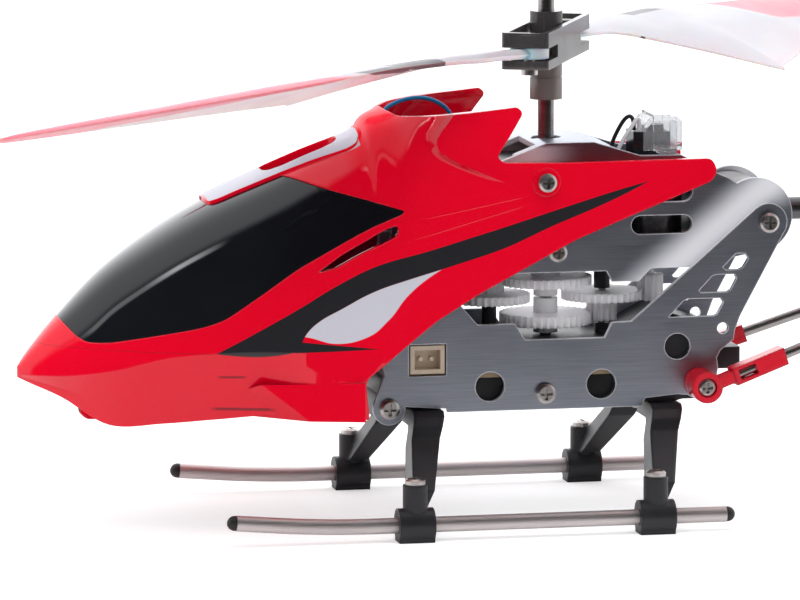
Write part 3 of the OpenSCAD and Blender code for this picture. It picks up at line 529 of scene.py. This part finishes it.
strip = g.both(between(g, from_middle, -9.0, g.line(x, -0.034, 5.75)), between(g, x, 26.5, 46.9), on_ridge)
# painted shade on the inside of the shell, below about 45 mm
inside_shade = g.both(g.math("SUBTRACT", 1.0, outside), g.ramp(z, 46.0, 44.0))
# painted shade along two grooves low on the side
groove_shade = g.either(g.both(between(g, z, 21.55, 21.85), between(g, x, 44.2, 47.5, 0.5)),
                   g.both(between(g, z, 16.9, 17.3), between(g, x, 40.3, 47.8, 0.8)))

paint = g.use(flaked, Colour=(0.84, 0.001, 0.021, 1), Flake_Colour=(0.92, 0.16, 0.16, 1))
# the flaked paint with painted shade in the grooves and on the lower inside
red_with_painted_shading = g.mix(inside_shade, g.mix(groove_shade, paint["Colour"], GROOVE_SHADE_RED), INSIDE_SHADE_RED)
colour = g.mix(silver, g.mix(strip, red_with_painted_shading, STRIP_SILVER), WEDGE_SILVER)
g.feed(shader["Base Color"], g.mix(ink, colour, INK))
g.feed(shader["Roughness"], paint["Roughness"])
print("canopy paint has a stripe of", len(STRIPE_TOP), "and", len(STRIPE_FOOT), "points")

# %% [markdown]
# ## Canopy relief and coat
# Two thin raised lines run back along the side from the window. Behind the collar the side panels stand
# out like small ears, with a soft flare along a bowed front edge. Both are shallow, so relief in the finish
# shows them well and the shell keeps its simple form. The clear coat is thin on silver, on the lower inside
# with its painted shade and on the collar.

# %% Canopy relief and coat
EAR_STEP = 0.9  # mm that the panels behind the collar stand out
EAR_FLARE = 2.2  # mm ahead of a panel's edge over which it rises
BOW_Z, BOW_SOFT = 51.0, 3.0  # mm, the height where a panel's edge is farthest forward, and its softness
SEAM = 0.1  # mm, half the width of a raised line

upper_seam = g.math("SUBTRACT", z, g.line(x, -0.178, 45.56))
lower_seam = g.math("SUBTRACT", z, g.line(x, -0.26, 44.85))
seams = g.either(g.both(between(g, upper_seam, -SEAM, SEAM, 0.1), between(g, x, 6.0, 22.6, 2.0)),
                 g.both(between(g, lower_seam, -SEAM, SEAM, 0.1), between(g, x, 6.0, 33.0, 2.0)))
above_bow = g.math("SMOOTH_MAX", z, BOW_Z, BOW_SOFT)
below_bow = g.math("SMOOTH_MIN", g.math("SUBTRACT", z, BOW_Z), 0.0, BOW_SOFT)
ear_edge = g.line(below_bow, 2.3, g.line(above_bow, -0.85, 62.45))
flare = g.math("POWER", g.ramp_line(g.math("SUBTRACT", ear_edge, x), -EAR_FLARE, 0.0), 2.0)
fade = g.both(g.ramp(from_middle, 8.0, 9.0), g.ramp(z, 45.0, 50.5), g.ramp(x, 3.0, 14.0))
fine_relief = g.bump(seams, 0.5, 0.0001, g.soft_edge(0.0003))
relief = g.bump(g.both(flare, fade), 1.0, EAR_STEP * MM, fine_relief)
g.feed(shader["Normal"], relief)
g.feed(shader["Coat Normal"], relief)
collar = g.both(between(g, x, 21.5, 28.0, 1.5), g.ramp(z, 44.5, 46.5, 0.0, 0.7))
g.feed(shader["Coat Weight"], g.line(g.either(silver, strip, inside_shade, collar), -0.8, 1.0))
print("canopy ears stand out by", EAR_STEP, "mm")

# %% [markdown]
# ## Plastics
# Most plastic pieces differ only in colour and gloss, so one short function makes their finishes. White
# nylon gears let some light in, which subsurface scattering gives. The cover of the receiver is clear.

# %% Plastics
EDGE = 0.00012  # metres, the radius with which most moulded and cut edges catch the light


def plastic(name, colour, deep, gloss, edge=EDGE, **constants):
    """A moulded finish between two close colours."""
    graph, shader = finish(name, **constants)
    skin = graph.use(moulded, Colour=(*colour, 1), Deep_Colour=(*deep, 1), Gloss=gloss)
    graph.feed(shader["Base Color"], skin["Colour"])
    graph.feed(shader["Roughness"], skin["Roughness"])
    graph.feed(shader["Normal"], graph.bump(skin["Height"], 0.06, 0.00005, graph.soft_edge(edge)))


plastic("frame_black", (0.014, 0.014, 0.016), (0.022, 0.022, 0.025), 0.36, edge=0.0005)
plastic("battery_wrap", (0.01, 0.01, 0.012), (0.02, 0.02, 0.02), 0.2)
plastic("board_tan", (0.4, 0.29, 0.16), (0.3, 0.22, 0.13), 0.5)
plastic("socket_cream", (0.72, 0.61, 0.47), (0.55, 0.43, 0.31), 0.35)
plastic("switch_black", (0.02, 0.02, 0.02), (0.035, 0.035, 0.035), 0.4)
plastic("cap_black", (0.012, 0.012, 0.013), (0.02, 0.02, 0.02), 0.5)
plastic("receiver_black", (0.012, 0.01, 0.012), (0.02, 0.018, 0.02), 0.15)
plastic("trim_red", (0.74, 0.006, 0.025), (0.66, 0.004, 0.02), 0.25, edge=0.0007, Coat_Weight=0.5,
        Coat_Roughness=0.08)
plastic("wire_black", (0.012, 0.012, 0.013), (0.02, 0.02, 0.02), 0.35)
plastic("wire_blue", (0.005, 0.15, 0.34), (0.004, 0.12, 0.28), 0.3)
plastic("wire_white", (0.78, 0.78, 0.8), (0.7, 0.7, 0.72), 0.4)
plastic("gear_white", (0.97, 0.94, 0.97), (0.92, 0.89, 0.93), 0.42, Subsurface_Weight=0.9,
        Subsurface_Scale=0.002, Subsurface_Radius=(1, 0.9, 0.95))
plastic("cover_clear", (0.95, 0.96, 0.98), (0.9, 0.91, 0.93), 0.06, Transmission_Weight=0.88, IOR=1.45)
print(len(finishes), "finishes so far")

# %% [markdown]
# ## Metals
# The skid tubes and the boom are drawn tube, streaked along their length. Turned screws and motor cans have
# no clear direction, so their streaks are even.

# %% Metals
# streaks per metre in X, Y and Z: many across the grain and few along it
ALONG = (150.0, 150.0, 7000.0)
DRAWN = (300.0, 300.0, 2500.0)
EVEN = (900.0, 900.0, 900.0)


def metal(name, colour, dark, streaks, gloss):
    """A brushed finish between two close colours."""
    graph, shader = finish(name, Metallic=1.0)
    skin = graph.use(brushed, Colour=(*colour, 1), Dark_Colour=(*dark, 1), Streaks=streaks, Gloss=gloss)
    graph.feed(shader["Base Color"], skin["Colour"])
    graph.feed(shader["Roughness"], skin["Roughness"])
    graph.feed(shader["Normal"], graph.bump(skin["Height"], 0.05, 0.00004, graph.soft_edge(EDGE)))


metal("motor_steel", (0.62, 0.62, 0.63), (0.5, 0.5, 0.51), EVEN, 0.28)
metal("steel", (0.5, 0.48, 0.46), (0.38, 0.36, 0.35), DRAWN, 0.3)
metal("skid_steel", (0.85, 0.79, 0.78), (0.7, 0.65, 0.64), ALONG, 0.5)
metal("screw_steel", (0.75, 0.72, 0.69), (0.58, 0.55, 0.53), EVEN, 0.3)
metal("boom_grey", (0.2, 0.2, 0.21), (0.15, 0.15, 0.16), ALONG, 0.35)
print(len(finishes), "finishes so far")

# %% [markdown]
# ## Frame plates
# The plates of the frame are brushed aluminium. Their sheared rims are painted bright, partly as the real
# cut edge and partly as painted highlight. A slanting band and a level band on the bent upper plate are
# painted reflections. The difference between a bevelled normal and the true one finds the rim. The
# painted places are paler, less metallic and rougher.

# %% Frame plates
# the bright rim is partly a real cut edge and partly painted highlight
RIM = 0.00022  # metres, the width of the bright rim
# the colour of the painted highlights and of the worn rims
HIGHLIGHT_PALE = (0.95, 0.96, 0.99, 1)

g, shader = finish("plate_metal")
x, y, z = axes(g)
skin = g.use(brushed, Colour=(0.52, 0.55, 0.62, 1), Dark_Colour=(0.42, 0.45, 0.52, 1), Streaks=ALONG,
             Gloss=0.37)
slant = g.math("ADD", g.line(x, 0.64, 11.0), g.line(z, 0.77, -26.5))
# painted reflection: a slanting pale band on the upper plate
painted_sheen = g.both(g.ramp(g.math("ABSOLUTE", slant), 5.0, 0.3), g.ramp(g.math("ABSOLUTE", y), 7.9, 7.7))
# painted highlight: a level pale band on the flank of the upper plate
flank_highlight = g.both(between(g, z, 48.2, 50.4, 0.4), g.ramp(x, -4.0, 4.0, 0.0, 0.8))
agree = g.add("VectorMath", {0: g.soft_edge(RIM, 6), 1: g.normal()}, operation="DOT_PRODUCT")
rim_wear_and_highlight = g.ramp(agree.outputs["Value"], 0.99, 0.9)  # the less the two normals agree, the nearer the rim is
# painted highlights and worn rims together
highlight_and_wear = g.either(painted_sheen, flank_highlight, rim_wear_and_highlight)
g.feed(shader["Base Color"], g.mix(highlight_and_wear, skin["Colour"], HIGHLIGHT_PALE))
g.feed(shader["Metallic"], g.line(highlight_and_wear, -0.7, 1.0))
g.feed(shader["Roughness"], g.line(highlight_and_wear, 0.3, skin["Roughness"]))
g.feed(shader["Normal"], g.bump(skin["Height"], 0.05, 0.00004, g.soft_edge(0.00025)))
print("plates have a bright rim of", RIM, "m")

# %% [markdown]
# ## Smoky grips and the dark window
# The grips of the rotors are moulded in smoky plastic that is a little clear, and darker toward the top.
# The window is black with a high gloss, so a very dark colour and a few handling marks are all it needs.

# %% Grips and window
GRIP_LOW, GRIP_HIGH = 61.2, 61.9  # mm, the heights between which a grip turns dark

g, shader = finish("grip_smoke", Transmission_Weight=0.5, IOR=1.5)
high = g.ramp(axes(g)[2], GRIP_LOW, GRIP_HIGH)
skin = g.use(moulded, Colour=g.mix(high, (0.34, 0.3, 0.28, 1), (0.12, 0.11, 0.112, 1)),
             Deep_Colour=g.mix(high, (0.27, 0.24, 0.22, 1), (0.08, 0.073, 0.075, 1)), Gloss=0.16)
g.feed(shader["Base Color"], skin["Colour"])
g.feed(shader["Roughness"], skin["Roughness"])
g.feed(shader["Normal"], g.bump(skin["Height"], 0.06, 0.00005, g.soft_edge(EDGE)))

g, shader = finish("window_black", IOR=1.5, Coat_Weight=0.4, Coat_Roughness=0.02)
tint = g.ramp(g.noise(g.spot(), 45.0), 0.3, 0.7)
g.feed(shader["Base Color"], g.mix(tint, (0.004, 0.004, 0.006, 1), (0.007, 0.008, 0.01, 1)))
g.feed(shader["Roughness"], g.use(handled, Gloss=0.05, Marks=0.05)["Roughness"])
g.feed(shader["Normal"], g.soft_edge(0.0002))
print("grips and window finished")

# %% [markdown]
# ## Blade finish
# The blades are thin white nylon that lets some light through. Two grey bars near the root wrap round the
# leading edge, and a red band grows toward the tip. The masks use the span and the chord, two attributes
# that the blade meshes carry, so the print follows the blade. The upper face is painted greyer, as painted
# shade against the light from above, and the red band is painted paler on the lower face, as painted light.

# %% Blade finish
BARS = ((31.0, 1.2), (25.0, 3.0))  # mm: how far out a bar ends, and how far it reaches over the upper face
BAND_START = 31.0  # mm out, where the red band starts

g, shader = finish("blade_white", Subsurface_Weight=0.8, Subsurface_Scale=0.0014, IOR=1.45)
skin = g.use(moulded, Colour=(0.92, 0.9, 0.94, 1), Deep_Colour=(0.88, 0.86, 0.91, 1), Gloss=0.34)
span, chord = (g.add("Attribute", attribute_name=label).outputs["Fac"] for label in ("span", "chord"))
top = g.math("GREATER_THAN", g.parts(g.normal())[2], 0.1)
across = g.both(chord, g.line(top, -2.0, 1.0))  # the distance from the leading edge, negative on top
bars = 0.0
for bar_end, over in BARS:
    inward = g.math("SUBTRACT", bar_end, span)
    bar = between(g, across, -over, g.line(inward, 0.8, -1.2), 0.3)
    bars = g.either(bars, g.both(bar, g.math("LESS_THAN", inward, g.line(across, 0.6, 8.1))))
width = g.either(g.both(g.ramp(span, BAND_START, 36.0), 1.5), g.both(g.ramp(span, 35.5, 46.0), 9.5))
band = g.both(between(g, chord, -1.0, width, 0.5), g.ramp(span, BAND_START, BAND_START + 0.5))
# painted shade: the upper face is made greyer, against the light from above
white_shaded_on_top = g.mix(top, skin["Colour"], g.mix(0.62, skin["Colour"], (0.3, 0.3, 0.34, 1)))
# painted light: the red band is paler on the lower face, which lies in shade
red_with_painted_shading = g.mix(top, (0.99, 0.36, 0.42, 1), (0.93, 0.2, 0.26, 1))
g.feed(shader["Base Color"], g.mix(band, g.mix(bars, white_shaded_on_top, (0.16, 0.16, 0.175, 1)), red_with_painted_shading))
g.feed(shader["Roughness"], skin["Roughness"])
g.feed(shader["Normal"], g.bump(skin["Height"], 0.04, 0.00005, g.soft_edge(EDGE)))
print(len(finishes), "finishes in all")

# %% [markdown]
# ## Finishes on the CAD nodes
# Pieces of one real material share one finish. The record names a slot for every node, and each slot has
# one finish here, so a loop dresses them all.

# %% Dress the nodes
for entry in frame["record"]["subparts"]:
    node = nodes[entry["node"]]
    node.data.materials.clear()
    node.data.materials.append(finishes[entry["material_slot"]])

# %% [markdown]
# ## Outlines of the canopy
# The real canopy is a thin moulded shell, trimmed to an outline and cut for its window, vent and intake.
# The ribs and outlines are those of the CAD solid, in millimetres from the shaft. Corners are left sharp
# here and rounded when they are used.

# %% Canopy outlines
WALL, RIDGE = 1.0, 0.4  # mm: the shell's thickness, and the height of the ridge on it
LEAN = 0.15  # how far the sides lean in toward the top
# each rib: place along X, height of the top, half width and height of the belt, squareness, half width
# and height of the foot
RIBS = [
    (72.2, 21.8, 0.6, 20.8, 2, 0.3, 20.3), (70.6, 24.1, 3, 20.9, 2, 1.6, 19.6),
    (66.7, 28.7, 6.6, 21.2, 2, 4, 17.9), (61, 34.5, 10.8, 22.3, 2.1, 7.4, 14.6),
    (54, 39.6, 14.2, 24.3, 2.2, 9.6, 14.9), (47, 43.6, 16.6, 25.1, 2.2, 11.8, 15.6),
    (40, 46.7, 17.4, 25.2, 2.2, 14.4, 16.3), (33.5, 49.5, 17.2, 24.8, 2.1, 16.2, 15.7),
    (27, 52, 16.5, 24, 2.1, 15.8, 15.5), (25.2, 54.2, 16.3, 22.9, 2.2, 14.1, 15),
    (22.8, 55.3, 15.9, 22.6, 2.8, 14, 15), (19.5, 56.9, 15.4, 22.6, 4.6, 14, 15),
    (13, 58.2, 14.4, 22.6, 8, 13.6, 15), (5, 58.8, 13.4, 22.6, 8, 12.8, 15),
    (-7, 59, 12, 22.6, 8, 11, 15), (-24, 59, 10.2, 22.6, 8, 9, 15)]
SHELL_SIDE = [
    (27.8, 10), (27.5, 16.2), (28.1, 20.8), (22.1, 25.4), (18, 28.4), (12, 31.8), (-1.3, 38.4),
    (-11.7, 42.3), (-20.3, 45.5), (-21, 46.3), (-21.1, 47.4), (-20.4, 48.6), (1, 48.75), (8.8, 49.1),
    (9.5, 49.7), (9.5, 50.2), (6.1, 55.3), (6.1, 55.8), (6.7, 56.35), (20, 55.1), (22.4, 54.8), (24, 60),
    (76, 60), (76, 10)]
WINDOW_SIDE = [
    (22.2, 43), (32, 45.6), (36, 46.9), (38.5, 47.2), (40, 60), (70, 60), (67.4, 29), (65.2, 26.5),
    (64, 25.8), (61.5, 25.9), (50, 28.3), (47, 29.3), (37, 35.7), (30, 39.1), (22.6, 42.5)]
VENT_SIDE = [(34.3, 35.2), (30.8, 37.4), (27.1, 39.2), (24.4, 40.7), (23.1, 41.1), (23.1, 39.8),
             (25.3, 38.6), (28.8, 37.1), (31.7, 35.7)]
SILL = [(28.2, 17.2, 15.4), (28.2, 16.8, 20.6), (42.2, 16.6, 20.8), (35.8, 16.9, 15.7)]
SILL_ROOT = [(28.2, 12, 15.4), (28.2, 12, 20.6), (46, 12, 19), (42.5, 12, 15.9)]
BOSS, BOSS_RADIUS, BOSS_REACH = (2.9, 46.3), 1.9, (7.2, 13.5)  # the two that take the canopy's screws
HOOK_SIDE = [(60, 15), (61, 14.4), (63, 14.4), (63.9, 15.2), (63.9, 19), (60, 19)]
HOOK_HALF, HOOK_EYE, HOOK_EYE_RADIUS = 0.8, (62.5, 15.9), 0.7  # the small hook under the nose


def mirrored(half_outline):
    """A plan outline from its right half, listed from the front back."""
    return half_outline + [(px, -py) for px, py in half_outline[::-1]]


RIDGE_PLAN = mirrored([(47.2, -2.2), (46.8, -3.6), (45.5, -4.1), (38, -4.5), (28, -4.75), (26.9, -4.5),
                       (26.3, -3)])
RIDGE_SLOT = mirrored([(39.2, -1.4), (38.6, -2.4), (37, -2.9), (31.5, -2.7), (29.8, -2.3), (29, -1.4)])
INTAKE_PLAN = mirrored([(22.7, -2.5), (22.1, -5.8), (20, -9.2), (17, -10.7), (4, -11.5), (-30, -8.3)])
print("canopy has", len(RIBS), "ribs from", RIBS[0][0], "to", RIBS[-1][0], "mm")

# %% [markdown]
# ## Canopy
# The shell follows the same ribs as the CAD solid, with many more steps, so its paint reflects without
# facets. A superellipse makes each rib: low squareness gives the round nose, high squareness the flat ears.
# The hollow is a second loft inside the first, and the openings are cut after it.

# %% Canopy


def shell_ring(s, inset, arc):
    """The ring at rib number s, made smaller by the inset, with a point every arc degrees."""
    px, top, belt, belt_z, square, foot, foot_z = smooth(RIBS, s)
    top, belt, foot, foot_z = top - inset, belt - inset, max(0.1, foot - inset), foot_z + inset
    keel = max(0.05, min(0.4, (px - 46) / 40))
    lean = LEAN * max(0, min(1, (px - 8) / 20))
    half_ring = []
    for step in range(int(90 / arc) + 1):
        a = math.radians(step * arc)
        rise = max(0, math.cos(a)) ** (2 / square)
        reach = belt * max(0, math.sin(a)) ** (2 / square)
        half_ring.append((reach * (1 - lean * rise), belt_z + (top - belt_z) * rise))
    half_ring += [(foot + keel / 2 * (belt - foot), foot_z + keel * (belt_z - foot_z)), (foot, foot_z)]
    return [(px, py, pz) for py, pz in half_ring] + [(px, -py, pz) for py, pz in half_ring[:0:-1]]


def shell_form(inset, start=0.0, arc=4.5, steps=8):
    """The closed form inside the ribs, from rib number start to the last one."""
    count = int((len(RIBS) - 1 - start) * steps)
    return loft("shell", [shell_ring(start + i / steps, inset, arc) for i in range(count + 1)])


def hollow(start):
    """The form of the inside, with coarser steps than the outside."""
    return shell_form(WALL, start, 7.5, 4)


canopy = shell_form(0)
canopy.name = "canopy_shell"
carve(canopy, side_prism(rounded(SHELL_SIDE, 1)), "INTERSECT")
carve(canopy, hollow(2))
carve(canopy, side_prism(rounded(WINDOW_SIDE, 2)))
carve(canopy, top_prism(rounded(INTAKE_PLAN, 2), 48, 70))
carve(canopy, side_prism(rounded(VENT_SIDE, 0.6)))
ridge = carve(shell_form(-RIDGE), hollow(2))
carve(canopy, carve(ridge, top_prism(rounded(RIDGE_PLAN, 1.2), 30, 60), "INTERSECT"), "UNION")
for hand in (1, -1):
    rings = [[(px, py * hand, pz) for px, py, pz in ring] for ring in (SILL_ROOT, SILL)]
    carve(canopy, loft("sill", rings), "UNION")
    low, high = sorted(reach * hand for reach in BOSS_REACH)
    carve(canopy, side_prism(circle(BOSS_RADIUS, 48, BOSS), low, high), "UNION")
hook = side_prism(rounded(HOOK_SIDE, 0.5), -HOOK_HALF, HOOK_HALF)
carve(canopy, carve(hook, side_prism(circle(HOOK_EYE_RADIUS, 48, HOOK_EYE), -3, 3)), "UNION")
carve(canopy, top_prism(rounded(RIDGE_SLOT, 1), 30, 70))
settle(canopy, "airframe", "canopy", "canopy_red", 18)

# %% [markdown]
# ## Windshield
# The window is a slice of the same loft, set a hair below the paint. It is black and glossy, so nearly all
# that it shows is the room.

# %% Windshield
pane = shell_form(0.08)
pane.name = "windshield_pane"
carve(pane, side_prism(rounded(WINDOW_SIDE, 2)), "INTERSECT")
carve(pane, hollow(1.5))
carve(pane, top_prism(rounded(RIDGE_PLAN, 1.2), 30, 60))
settle(pane, "airframe", "windshield", "window_black")

# %% [markdown]
# ## Blades
# A rotor blade is a loft too: ten stations along the span, each a thin cambered section set at its pitch.
# Two attributes keep the span and the distance from the leading edge for the finish. A disc at the root
# takes the screw. The upper rotor turns the other way, so its blades are mirrored.

# %% Blades
SCREW_R = 10.5  # mm from the shaft to the blade's screw
PITCH = math.radians(16)
CAMBER = 0.16
SPAN = 84.5  # mm from the screw to the tip
DROOP_FROM = 6  # mm from the screw, where a blade starts to hang
ROOT_RADIUS, ROOT_HALF = 2.6, 0.75  # mm
LOWER_Z, UPPER_Z = 63.35, 84  # mm
# each station: distance from the screw, reach ahead and behind, share of the pitch, thickness
STATIONS = [
    (0.5, 2.2, 2.2, 0, 1.5), (4.4, 2.1, 2.1, 0, 1.4), (9, 2.6, 2.6, 0.3, 1.4), (14, 4, 7, 0.75, 1.3),
    (25, 5, 18.8, 1, 1.2), (28.5, 4.8, 18.2, 1, 1.2), (45, 3.8, 12.6, 1, 1.1), (65, 3.4, 7, 1, 0.9),
    (80, 3.4, 2.6, 1, 0.7), (SPAN, 2.2, 0.2, 1, 0.5)]
# the section, from the leading edge: share of the chord, and share of the thickness there
SECTION = [(0, 0), (0.08, 0.8), (0.25, 1), (0.55, 0.8), (1, 0.24)]


def blade_ring(station, droop):
    """Points with their place and their distance from the leading edge."""
    out, lead, trail, turned, thick = station
    depth, a = lead + trail, PITCH * turned
    hang = max(0, out - DROOP_FROM) * math.tan(droop)
    profile = [smooth(SECTION, i / 4) for i in range(17)]
    ring = []
    for part, face in [(p, 1) for p in profile] + [(p, -1) for p in profile[:0:-1]]:
        v = lead - depth * part[0]
        w = face * thick / 2 * part[1] + CAMBER * depth * turned * part[0] * (1 - part[0])
        ring.append((out, v * math.cos(a) - w * math.sin(a), v * math.sin(a) + w * math.cos(a) - hang,
                     depth * part[0]))
    return ring


def blade(name, body, node, grip, end, height, fold, droop, flip=1):
    """A blade on one end of a grip, with both angles of turn and the droop in degrees."""
    rows = [smooth(STATIONS, i / 6) for i in range(6 * (len(STATIONS) - 1) + 1)]
    rings = [blade_ring(row, math.radians(droop)) for row in rows]
    made = loft(name, [[p[:3] for p in ring] for ring in rings])
    spots = [p for ring in rings for p in ring]
    for label, index in (("span", 0), ("chord", 3)):
        kept = made.data.attributes.new(label, "FLOAT", "POINT")
        kept.data.foreach_set("value", [p[index] for p in spots])
    made.data.transform(Matrix.Scale(flip, 4, (0, 1, 0)))
    if flip < 0:
        made.data.flip_normals()
    root = top_prism(circle(ROOT_RADIUS, 40), -ROOT_HALF, ROOT_HALF)
    shape = bmesh.new()
    shape.from_mesh(made.data)
    shape.from_mesh(root.data)
    shape.to_mesh(made.data)
    shape.free()
    bpy.data.objects.remove(root)
    turned = Matrix.Rotation(math.radians(grip + 180 * end), 4, "Z")
    folded = Matrix.Rotation(math.radians(fold), 4, "Z")
    made.data.transform(turned @ Matrix.Translation((SCREW_R, 0, height)) @ folded)
    return settle(made, body, node, "blade_white")


near_blade = blade("blade_lower_front", "lower_blade_front", "lower_blade_a", 65, 0, LOWER_Z, -41, 4.5)
near_blade.visible_glossy = False  # the window shows the room and not the blade above it
blade("blade_lower_back", "lower_blade_back", "lower_blade_b", 65, 1, LOWER_Z, -23, 0.5)
blade("blade_upper_one", "upper_blade_one", "upper_blade_a", 134, 0, UPPER_Z, 0, 1, -1)
blade("blade_upper_two", "upper_blade_two", "upper_blade_b", 134, 1, UPPER_Z, 0, 1, -1)

# %% [markdown]
# ## Skid tubes
# The skids are steel tube with a soft upward bend near the front. A curve with a round bevel would do, but
# a round section swept along the line gives a closed mesh at once and keeps the numbers of the CAD source.

# %% Skid tubes
SKID_SIDE, SKID_Z, SKID_RADIUS = 21.6, 2.2, 1.05  # mm
SKID_BACK, SKID_TURN = -19.8, 34.6  # mm, where a tube ends behind and where it turns up
SKID_BEND, SKID_TOE = 7, 12  # mm, half the length of the bend, and from the turn to the front end
SKID_RISE = math.radians(5)


def tube(name, line, radius, sides=20):
    """A closed round bar along a line of points, in mm."""
    rings = []
    for i, point in enumerate(line):
        ahead = (Vector(line[min(len(line) - 1, i + 1)]) - Vector(line[max(0, i - 1)])).normalized()
        across = ahead.cross(Vector((0, 1, 0.02))).normalized()
        other = ahead.cross(across)
        rings.append([tuple(Vector(point) + u * across + v * other) for u, v in circle(radius, sides)])
    return loft(name, rings)


lift = Vector((math.cos(SKID_RISE), 0, math.sin(SKID_RISE)))
for label, hand in (("left", 1), ("right", -1)):
    turn = Vector((SKID_TURN, SKID_SIDE * hand, SKID_Z))
    bent = bend(turn - Vector((SKID_BEND, 0, 0)), turn, turn + SKID_BEND * lift, 12)
    path = [(SKID_BACK, SKID_SIDE * hand, SKID_Z)] + bent + [tuple(turn + SKID_TOE * lift)]
    skid = tube("skid_" + label, path, SKID_RADIUS, 32)
    settle(skid, "airframe", "skid_tube_" + label, "skid_steel")

# %% [markdown]
# ## Wires
# Three fine insulated wires show on the part: two belong to the receiver, and one loops up from a motor.
# Each follows a few listed points, with a smooth curve through them.

# %% Wires
WIRE_RADIUS = 0.28  # mm
BLACK_ROUTE = [(-8.6, 1.2, 48.5), (-9.1, 1.2, 50.4), (-10.3, 1.1, 52.6), (-11.2, 1, 53.4),
               (-11.8, 0.9, 53), (-12, 0.9, 51.5)]
WHITE_ROUTE = [(-9.3, 2.1, 48.5), (-10.1, 2.1, 50.2), (-11.3, 2, 52), (-12.2, 1.8, 53.1),
               (-12.5, 1.7, 52.7), (-12.5, 1.7, 51.5)]
BLUE_ROUTE = [(18, 1, 47.3), (20.6, 0.8, 48.6), (22.1, 0.4, 51), (22.5, 0.2, 53.4), (22, 0, 55.1),
              (19.8, 0, 56.2), (17.2, 0, 56.5), (14.9, 0, 55.8), (13.3, 0, 54.4), (12.7, 0.1, 52),
              (12.9, 0.3, 50), (13.3, 0.4, 48.1)]


def wire(name, route, material, node):
    """A round wire along its route."""
    line = [smooth(route, i / 6) for i in range(6 * (len(route) - 1) + 1)]
    settle(tube(name, line, WIRE_RADIUS), "airframe", node, material)


wire("receiver_wire_black", BLACK_ROUTE, "wire_black", "ir_wires")
wire("receiver_wire_white", WHITE_ROUTE, "wire_white", "ir_wires")
wire("motor_wire", BLUE_ROUTE, "wire_blue", "blue_wire")

# %% [markdown]
# ## The end

# %% Finish
print("the helicopter is dressed")
